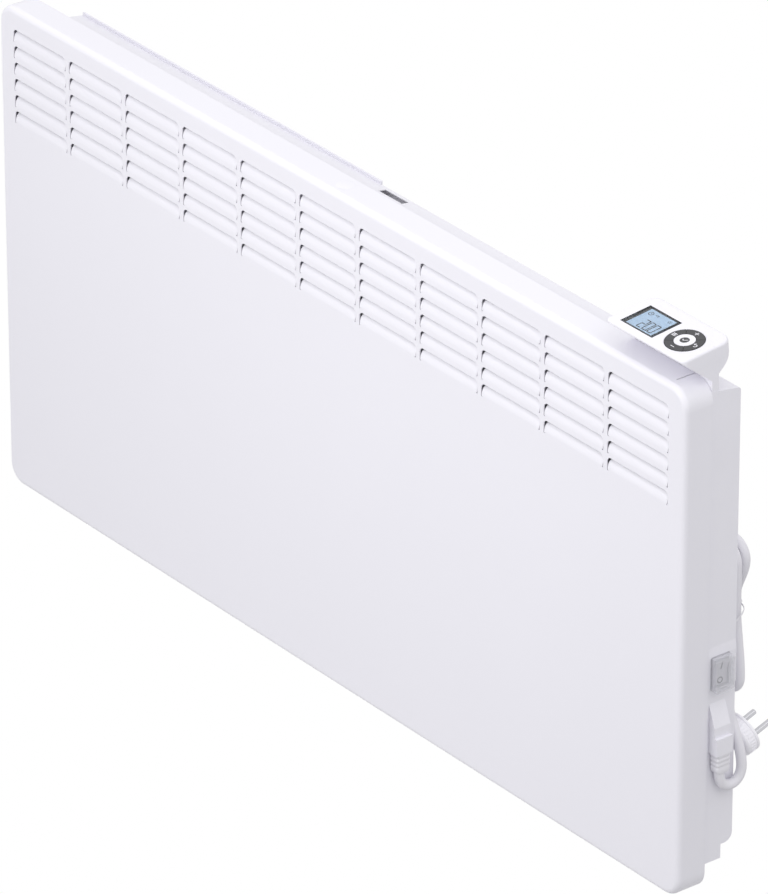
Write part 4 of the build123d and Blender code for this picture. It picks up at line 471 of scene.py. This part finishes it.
class HEATER_OT_cord(bpy.types.Operator):
    """Lay the mains cord from its clamp through the hank to the plug"""

    bl_idname = "heater.cord"
    bl_label = "Cord"

    def execute(self, context):
        sizes = context.scene.heater_sizes
        top = PLUG_FACE - PIN_WAY * (PLUG_THICK / 2) + NOZZLE_WAY * (PLUG_RADIUS + NOZZLE_LENGTH)
        bend = top + NOZZLE_WAY * LEAD_STRAIGHT
        route = CLAMP_TO_HANK + hank_points() + HANK_TO_PLUG + [tuple(bend), tuple(top)]
        curve = bpy.data.curves.new("mains_cord", "CURVE")
        curve.dimensions = "3D"
        curve.bevel_depth = sizes.cord / 2
        curve.bevel_resolution = 6
        curve.resolution_u = 6
        line = curve.splines.new("NURBS")
        line.points.add(len(route) - 1)
        for point, place in zip(line.points, route):
            point.co = (*place, 1.0)
        line.order_u = 3
        line.use_endpoint_u = True
        cord = bpy.data.objects.new("mains_cord", curve)
        context.scene.collection.objects.link(cord)
        paint(cord, "cord_jacket")
        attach(cord, HEATER)
        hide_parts("supply_cord", "cord_hank", "plug_lead")
        self.plug()
        self.tie()
        self.strain_relief()
        return {"FINISHED"}

    def plug(self):
        """The round plug with its grip, stepped face and ribbed nozzle."""
        shape = bmesh.new()
        turned(shape, [(r * MM, z * MM) for r, z in PLUG_PROFILE], 96)
        for k in range(GRIP_RIBS):
            turn = 2 * pi * k / GRIP_RIBS
            place = (cos(turn) * GRIP_RADIUS, sin(turn) * GRIP_RADIUS, GRIP_LEVEL)
            bar(shape, GRIP_RIB, place, turn, GRIP_SOFTEN)
        body = finish_piece("plug_moulding", shape, "plug_plastic",
                            matrix=axes_at(PLUG_FACE, SIDEWAYS, PIN_WAY))
        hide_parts("plug_body")
        shape = bmesh.new()
        turned(shape, [(r * MM, z * MM) for r, z in NOZZLE_PROFILE], 48)
        place = PLUG_FACE - PIN_WAY * (PLUG_THICK / 2)
        nozzle = finish_piece("plug_nozzle", shape, "plug_plastic",
                              matrix=axes_at(place, PIN_WAY, NOZZLE_WAY))
        nozzle.parent = body
        return body

    def tie(self):
        """The thin band round the hank's waist."""
        shape = bmesh.new()
        line = smooth_loop([Vector(place) * MM for place in TIE_LOOP])
        band(shape, line, TIE_THICK, TIE_TALL)
        tie = finish_piece("hank_tie", shape, "tie_plastic")
        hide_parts("cord_tie")
        return tie

    def strain_relief(self):
        """The tapered ribbed block under the hood."""
        shape = bmesh.new()
        rings = []
        for share, wide, thick in RELIEF_SECTIONS:
            z = RELIEF_TOP + (RELIEF_LOW - RELIEF_TOP) * share
            rings.append(rounded_ring(shape, wide * MM, thick * MM, z))
        for one, two in zip(rings, rings[1:]):
            for k in range(len(one)):
                shape.faces.new((one[k], one[k - 1], two[k - 1], two[k]))
        shape.faces.new(rings[0])
        shape.faces.new(rings[-1][::-1])
        relief = finish_piece("strain_relief", shape, "cord_jacket", smooth=50.0,
                              matrix=Matrix.Translation((RELIEF_X, RELIEF_Y, 0.0)))
        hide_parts("cord_clamp")
        return relief


def rounded_ring(shape, wide, thick, z, reach=2.2 * MM, steps=8):
    """Vertices of a rounded rectangle, wide along Y and thick along X, at a level."""
    ring = []
    for quarter in range(4):
        side_x = 1 if quarter in (0, 3) else -1
        side_y = 1 if quarter in (0, 1) else -1
        for step in range(steps + 1):
            angle = pi / 2 * (quarter + step / steps)
            ring.append(shape.verts.new((side_x * (thick / 2 - reach) + reach * cos(angle),
                                         side_y * (wide / 2 - reach) + reach * sin(angle), z)))
    return ring


# turned profiles of the plug as (radius, height) in millimetres
PLUG_PROFILE = [
    (0.0, -0.4), (14.6, -0.4), (14.8, 0.0), (16.7, 0.0), (17.2, -0.3), (17.4, -0.9), (17.4, -2.2),
    (16.8, -2.6), (16.8, -9.4), (17.2, -9.8), (17.1, -10.4), (16.6, -11.4), (15.6, -12.5), (14.4, -13.2),
    (13.3, -13.5), (10.2, -13.5), (9.8, -13.2), (0.0, -13.0)]
NOZZLE_PROFILE = [
    (0.0, 12.0), (6.4, 12.0), (6.5, 16.2), (6.3, 17.2), (5.5, 17.5), (5.5, 18.0), (6.1, 18.3), (6.0, 19.3),
    (5.2, 19.6), (5.2, 20.1), (5.8, 20.4), (5.7, 21.4), (4.9, 21.7), (4.9, 22.2), (5.5, 22.5), (5.4, 23.3),
    (4.9, 23.5), (4.0, 23.5)]
GRIP_RIBS = 36
GRIP_RIB = (0.8 * MM, 1.1 * MM, 5.2 * MM)
GRIP_SOFTEN = 0.3 * MM
GRIP_RADIUS = 16.9 * MM
GRIP_LEVEL = -PLUG_THICK * 0.45
# share of the block's height, width along Y and thickness along X in millimetres
RELIEF_SECTIONS = [
    (0.00, 14.4, 10.0), (0.10, 14.3, 10.0), (0.13, 13.4, 9.4), (0.20, 13.4, 9.4), (0.23, 14.1, 10.0),
    (0.33, 14.0, 10.0), (0.36, 13.0, 9.4), (0.43, 13.0, 9.4), (0.46, 13.8, 9.9), (0.56, 13.7, 9.9),
    (0.59, 12.7, 9.4), (0.66, 12.7, 9.4), (0.69, 13.4, 9.8), (0.84, 13.0, 9.7), (0.93, 12.2, 9.5),
    (0.98, 11.0, 9.1), (1.00, 9.6, 8.8)]


# ---------------------------------------------------------------- printed marks
SEGMENTS = {
    "0": "abcdef", "1": "bc", "2": "abged", "3": "abgcd", "4": "fgbc", "5": "afgcd", "6": "afgedc",
    "7": "abc", "8": "abcdefg", "9": "abcdfg"}


def digit(shape, figure, left, low, tall, wide, line):
    """Adds a seven segment figure to a bmesh, its lower left corner at (left, low)."""
    half = tall / 2
    rows = {"a": tall, "g": half, "d": 0.0}
    sides = {"b": (wide, half), "c": (wide, 0.0), "f": (0.0, half), "e": (0.0, 0.0)}
    for name in SEGMENTS[figure]:
        if name in rows:
            bar(shape, (wide - 0.2 * line, line, PRINT), (left + wide / 2, low + rows[name], 0.0))
        else:
            x, z = sides[name]
            bar(shape, (line, half - 0.5 * line, PRINT), (left + x, low + z + half / 2, 0.0))


def ring_mark(shape, middle, radius, line, start=0.0, sweep=2 * pi, steps=28):
    """Adds a flat ring, or a part of one, to a bmesh."""
    rows = []
    for step in range(steps + 1):
        angle = start + sweep * step / steps
        rows.append([shape.verts.new((middle[0] + r * cos(angle), middle[1] + r * sin(angle), PRINT / 2))
                     for r in (radius - line / 2, radius + line / 2)])
    for one, two in zip(rows, rows[1:]):
        shape.faces.new((one[0], one[1], two[1], two[0]))


def on_head(x, y, z):
    """The matrix that takes a flat mark to a place on the head's tilted face."""
    place = HEAD_ORIGIN + SIDEWAYS * x + HEAD_BACKWARD * y + HEAD_UP * z
    return axes_at(place, SIDEWAYS, HEAD_UP)


# everything on the display is placed from its middle, in metres
FIGURES = "200"                     # tenths of a degree
FIGURES_LEFT = -4.0 * MM
FIGURES_LOW = -11.6 * MM
FIGURE_SLIMNESS = 0.38              # width and line of a figure as shares of its height
FIGURE_LINE = 0.085
FIGURE_GAP = 1.8                    # lines between two figures
CLOCK = (-9.1 * MM, 7.6 * MM)
CLOCK_RADIUS = 2.1 * MM
CLOCK_LINE = 0.55 * MM
SUN = (11.4 * MM, 9.0 * MM)
SUN_RADIUS = 0.9 * MM
SUN_LINE = 0.35 * MM
RAYS = 8
RAY_MIDDLE = 1.8 * MM               # from the sun's middle
RAY = (0.7 * MM, 0.3 * MM, PRINT)
# bars and strips as (middle X, middle Y, length along X, length along Y) in millimetres
CLOCK_HANDS = [(-9.1, 8.2, 0.5, 1.5), (-8.6, 7.5, 1.3, 0.5)]
LEVEL_BARS = [(-3.8, 8.4, 0.6, 1.0), (-2.6, 8.4, 0.6, 1.8), (-1.4, 8.4, 0.6, 2.6)]
FRAME_STRIPS = [(-15.15, 0.0, 2.4, 27.5), (16.05, 0.0, 0.6, 27.5), (0.0, 13.2, 32.7, 1.1)]


class HEATER_OT_display(bpy.types.Operator):
    """Set the temperature and the small signs on the display"""

    bl_idname = "heater.display"
    bl_label = "Display"

    def execute(self, context):
        tall = context.scene.heater_sizes.digit_height
        wide = tall * FIGURE_SLIMNESS
        line = tall * FIGURE_LINE
        step = wide + FIGURE_GAP * line
        shape = bmesh.new()
        for k, figure in enumerate(FIGURES):
            digit(shape, figure, FIGURES_LEFT + k * step, FIGURES_LOW, tall, wide, line)
        point = FIGURES_LEFT + 2 * step - FIGURE_GAP / 2 * line
        bar(shape, (line, line, PRINT), (point, FIGURES_LOW, 0.0))
        for x, y, across, deep in FRAME_STRIPS + CLOCK_HANDS + LEVEL_BARS:
            bar(shape, (across * MM, deep * MM, PRINT), (x * MM, y * MM, 0.0))
        ring_mark(shape, CLOCK, CLOCK_RADIUS, CLOCK_LINE)
        ring_mark(shape, SUN, SUN_RADIUS, SUN_LINE)
        for k in range(RAYS):
            turn = 2 * pi * k / RAYS
            bar(shape, RAY, (SUN[0] + RAY_MIDDLE * cos(turn), SUN[1] + RAY_MIDDLE * sin(turn), 0.0), turn)
        x, y = DISPLAY_MIDDLE
        finish_piece("display_figures", shape, "display_mask",
                     matrix=on_head(x, y, DISPLAY_TOP + PRINT / 2))
        return {"FINISHED"}


MARK_LINE = 0.15                    # width of a key mark's line as a share of its length


class HEATER_OT_key_marks(bpy.types.Operator):
    """Print the signs on the round button's keys"""

    bl_idname = "heater.key_marks"
    bl_label = "Key marks"

    def execute(self, context):
        long = context.scene.heater_sizes.mark
        line = long * MARK_LINE
        plus = bmesh.new()
        bar(plus, (long, line, PRINT))
        bar(plus, (line, long, PRINT))
        self.put(plus, "plus_mark", "plus_key", 0.0, KEY_MIDDLE)
        minus = bmesh.new()
        bar(minus, (long, line, PRINT))
        self.put(minus, "minus_mark", "minus_key", 0.0, -KEY_MIDDLE)
        menu = bmesh.new()
        for k in (-1, 0, 1):
            bar(menu, (long, 1.2 * line, PRINT), (0.0, k * 2.2 * line, 0.0))
        self.put(menu, "menu_mark", "menu_key", -KEY_MIDDLE, 0.0)
        back = bmesh.new()
        ring_mark(back, (0.0, 0.0), long * 0.36, line, radians(-110.0), radians(230.0), 20)
        bar(back, (long * 0.5, line, PRINT), (-long * 0.28, long * 0.36, 0.0))
        bar(back, (long * 0.4, line, PRINT), (-long * 0.42, long * 0.50, 0.0), radians(45.0))
        bar(back, (long * 0.4, line, PRINT), (-long * 0.42, long * 0.22, 0.0), radians(-45.0))
        self.put(back, "back_mark", "back_key", KEY_MIDDLE, 0.0)
        tick = bmesh.new()
        bar(tick, (long * 0.5, line, PRINT), (-long * 0.34, -long * 0.10, 0.0), radians(-45.0))
        bar(tick, (long, line, PRINT), (long * 0.18, long * 0.06, 0.0), radians(45.0))
        self.put(tick, "ok_mark", "ok_key", 0.0, 0.0)
        return {"FINISHED"}

    def put(self, shape, name, body, x, y):
        """Lays a mark on the top of a key."""
        finish_piece(name, shape, "white_key", body,
                     on_head(RING_MIDDLE[0] + x, RING_MIDDLE[1] + y, KEY_TOP + PRINT / 2))


ON_BAR = (1.2 * MM, 7.0 * MM, PRINT)
ON_HEIGHT = 6.6 * MM                # marks' middles over and under the rocker's crease
OFF_HEIGHT = -7.0 * MM
OFF_RADIUS = 2.4 * MM
OFF_LINE = 1.1 * MM


class HEATER_OT_switch_marks(bpy.types.Operator):
    """Print the on and off signs on the rocker"""

    bl_idname = "heater.switch_marks"
    bl_label = "Switch marks"

    def execute(self, context):
        on = bmesh.new()
        bar(on, ON_BAR)
        self.put(on, "on_mark", 2 * SWITCH_ROCK, ON_HEIGHT)
        off = bmesh.new()
        ring_mark(off, (0.0, 0.0), OFF_RADIUS, OFF_LINE)
        self.put(off, "off_mark", 0.0, OFF_HEIGHT)
        return {"FINISHED"}

    def put(self, shape, name, lean, height):
        """Lays a mark on one of the rocker's two faces at rest."""
        out = Vector((cos(lean), 0.0, -sin(lean)))
        up = Vector((sin(lean), 0.0, cos(lean)))
        crease = Vector((ROCKER_DEPTH, 0.0, -ROCKER_DEPTH * sin(SWITCH_ROCK)))
        place = SWITCH_PIVOT + crease + up * height + out * PRINT * 2
        finish_piece(name, shape, "relay_black", "rocker", axes_at(place, up.cross(out) * -1.0, out))


# the field's turned profile as (radius, height)
BADGE_PROFILE = [(0.0, 0.0), (7.9 * MM, 0.0), (8.0 * MM, 0.06 * MM), (7.7 * MM, 0.12 * MM), (0.0, 0.12 * MM)]


class HEATER_OT_badge(bpy.types.Operator):
    """Lay the plain round field on the casing's upper flange"""

    bl_idname = "heater.badge"
    bl_label = "Round field"

    def execute(self, context):
        shape = bmesh.new()
        turned(shape, BADGE_PROFILE)
        finish_piece("round_field", shape, "white_plastic", matrix=Matrix.Translation(BADGE_PLACE))
        return {"FINISHED"}


FLOOR_REACH = 60.0                  # metres
FLOOR_SHADE = 0.46                  # grey of the floor where light bounces off it
# each lamp's place, the point that it is aimed at and its width
OVERHEAD_LAMP = ((0.0, -1.15, 0.60), (0.0, -0.1, 0.05), 1.0)
SIDE_LAMP = ((1.4, -0.35, 1.05), (0.45, -0.06, 0.15), 0.9)


class HEATER_OT_stage(bpy.types.Operator):
    """Make the floor, the soft light and the camera"""

    bl_idname = "heater.stage"
    bl_label = "Stage"

    def execute(self, context):
        stage = context.scene.heater_stage
        shape = bmesh.new()
        bmesh.ops.create_grid(shape, x_segments=1, y_segments=1, size=FLOOR_REACH)
        mesh = bpy.data.meshes.new("floor")
        shape.to_mesh(mesh)
        shape.free()
        mesh.transform(Matrix.Translation((0, 0, stage.floor_drop)))
        floor = bpy.data.objects.new("floor", mesh)
        context.scene.collection.objects.link(floor)
        mesh.materials.append(floor_material())
        light_world(stage.sky, stage.zenith)
        lamp("overhead", *OVERHEAD_LAMP, stage.key_light)
        lamp("side", *SIDE_LAMP, stage.side_light)
        camera(stage.lens)
        context.scene.view_settings.view_transform = "Standard"
        return {"FINISHED"}


def floor_material():
    """A pale floor that the camera sees as white and that bounces light onto the object."""
    material = bpy.data.materials.new("floor_white")
    material.use_nodes = True
    tree = material.node_tree
    shader = tree.nodes["Principled BSDF"]
    shader.inputs["Base Color"].default_value = (FLOOR_SHADE, FLOOR_SHADE, FLOOR_SHADE, 1.0)
    shader.inputs["Roughness"].default_value = 0.9
    glow = node(tree, "ShaderNodeEmission", Strength=1.0)
    rays = node(tree, "ShaderNodeLightPath")
    mix = node(tree, "ShaderNodeMixShader")
    seen = seen_rays(tree, rays)
    tree.links.new(seen, mix.inputs[0])
    tree.links.new(shader.outputs[0], mix.inputs[1])
    tree.links.new(glow.outputs[0], mix.inputs[2])
    tree.links.new(mix.outputs[0], tree.nodes["Material Output"].inputs["Surface"])
    return material


def seen_rays(tree, rays):
    """Camera, glossy and transmission rays together."""
    first = node(tree, "ShaderNodeMath", operation="MAXIMUM")
    second = node(tree, "ShaderNodeMath", operation="MAXIMUM")
    tree.links.new(rays.outputs["Is Camera Ray"], first.inputs[0])
    tree.links.new(rays.outputs["Is Glossy Ray"], first.inputs[1])
    tree.links.new(first.outputs[0], second.inputs[0])
    tree.links.new(rays.outputs["Is Transmission Ray"], second.inputs[1])
    return second.outputs[0]


def light_world(strength, zenith):
    """Soft light that grows towards the zenith, with white behind the object."""
    world = bpy.data.worlds.new("soft_studio")
    bpy.context.scene.world = world
    world.use_nodes = True
    tree = world.node_tree
    sky = tree.nodes["Background"]
    sky.inputs["Color"].default_value = (1.0, 1.0, 1.0, 1.0)
    way = node(tree, "ShaderNodeTexCoord")
    parts = node(tree, "ShaderNodeSeparateXYZ")
    rise = node(tree, "ShaderNodeMapRange")
    rise.inputs["To Min"].default_value = strength
    rise.inputs["To Max"].default_value = strength + zenith
    tree.links.new(way.outputs["Generated"], parts.inputs["Vector"])
    tree.links.new(parts.outputs["Z"], rise.inputs["Value"])
    tree.links.new(rise.outputs["Result"], sky.inputs["Strength"])
    white = node(tree, "ShaderNodeBackground", Strength=1.0)
    white.inputs["Color"].default_value = (1.0, 1.0, 1.0, 1.0)
    rays = node(tree, "ShaderNodeLightPath")
    mix = node(tree, "ShaderNodeMixShader")
    tree.links.new(seen_rays(tree, rays), mix.inputs[0])
    tree.links.new(sky.outputs[0], mix.inputs[1])
    tree.links.new(white.outputs[0], mix.inputs[2])
    tree.links.new(mix.outputs[0], tree.nodes["World Output"].inputs["Surface"])


def lamp(name, place, target, size, power):
    """A broad square lamp aimed at a point."""
    data = bpy.data.lights.new(name, "AREA")
    data.size = size
    data.energy = power
    light = bpy.data.objects.new(name, data)
    light.location = place
    aim = Vector(target) - Vector(place)
    light.rotation_euler = aim.to_track_quat("-Z", "Y").to_euler()
    bpy.context.scene.collection.objects.link(light)


# the photograph's viewpoint, in metres and degrees
CAMERA_PLACE = (4.92693, -3.88058, 3.29144)
CAMERA_AZIMUTH = 52.084
CAMERA_ELEVATION = 27.983
CAMERA_ROLL = -0.064


def camera(lens):
    """The camera at the photograph's viewpoint."""
    data = bpy.data.cameras.new("camera")
    data.lens = lens
    data.sensor_width = 36.0
    data.clip_start = 0.1
    data.clip_end = 200.0
    made = bpy.data.objects.new("camera", data)
    turn = (Matrix.Rotation(radians(CAMERA_AZIMUTH), 4, "Z")
            @ Matrix.Rotation(radians(90.0 - CAMERA_ELEVATION), 4, "X")
            @ Matrix.Rotation(radians(CAMERA_ROLL), 4, "Z"))
    made.matrix_world = Matrix.Translation(CAMERA_PLACE) @ turn
    bpy.context.scene.collection.objects.link(made)
    bpy.context.scene.camera = made


class HEATER_PT_panel(bpy.types.Panel):
    """Lists the heater's operators and settings"""

    bl_label = "Heater"
    bl_idname = "HEATER_PT_panel"
    bl_space_type = "VIEW_3D"
    bl_region_type = "UI"
    bl_category = "Heater"

    def draw(self, context):
        for group in (context.scene.heater_colours, context.scene.heater_sizes,
                      context.scene.heater_stage):
            box = self.layout.box()
            for name in group.__annotations__:
                box.prop(group, name)
        for step in STEPS:
            self.layout.operator(step.bl_idname)


STEPS = (HEATER_OT_finishes, HEATER_OT_cord, HEATER_OT_display, HEATER_OT_key_marks,
         HEATER_OT_switch_marks, HEATER_OT_badge, HEATER_OT_stage)
CLASSES = (HeaterColours, HeaterSizes, StageSettings, *STEPS, HEATER_PT_panel)


def register():
    """Makes the settings and operators known to Blender."""
    for made in CLASSES:
        bpy.utils.register_class(made)
    bpy.types.Scene.heater_colours = PointerProperty(type=HeaterColours)
    bpy.types.Scene.heater_sizes = PointerProperty(type=HeaterSizes)
    bpy.types.Scene.heater_stage = PointerProperty(type=StageSettings)


def unregister():
    """Takes the settings and operators back."""
    del bpy.types.Scene.heater_stage
    del bpy.types.Scene.heater_sizes
    del bpy.types.Scene.heater_colours
    for made in reversed(CLASSES):
        bpy.utils.unregister_class(made)


def main():
    """Registers the add-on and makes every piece."""
    register()
    bpy.ops.heater.finishes()
    bpy.ops.heater.cord()
    bpy.ops.heater.display()
    bpy.ops.heater.key_marks()
    bpy.ops.heater.switch_marks()
    bpy.ops.heater.badge()
    bpy.ops.heater.stage()


if __name__ == "__main__":
    main()
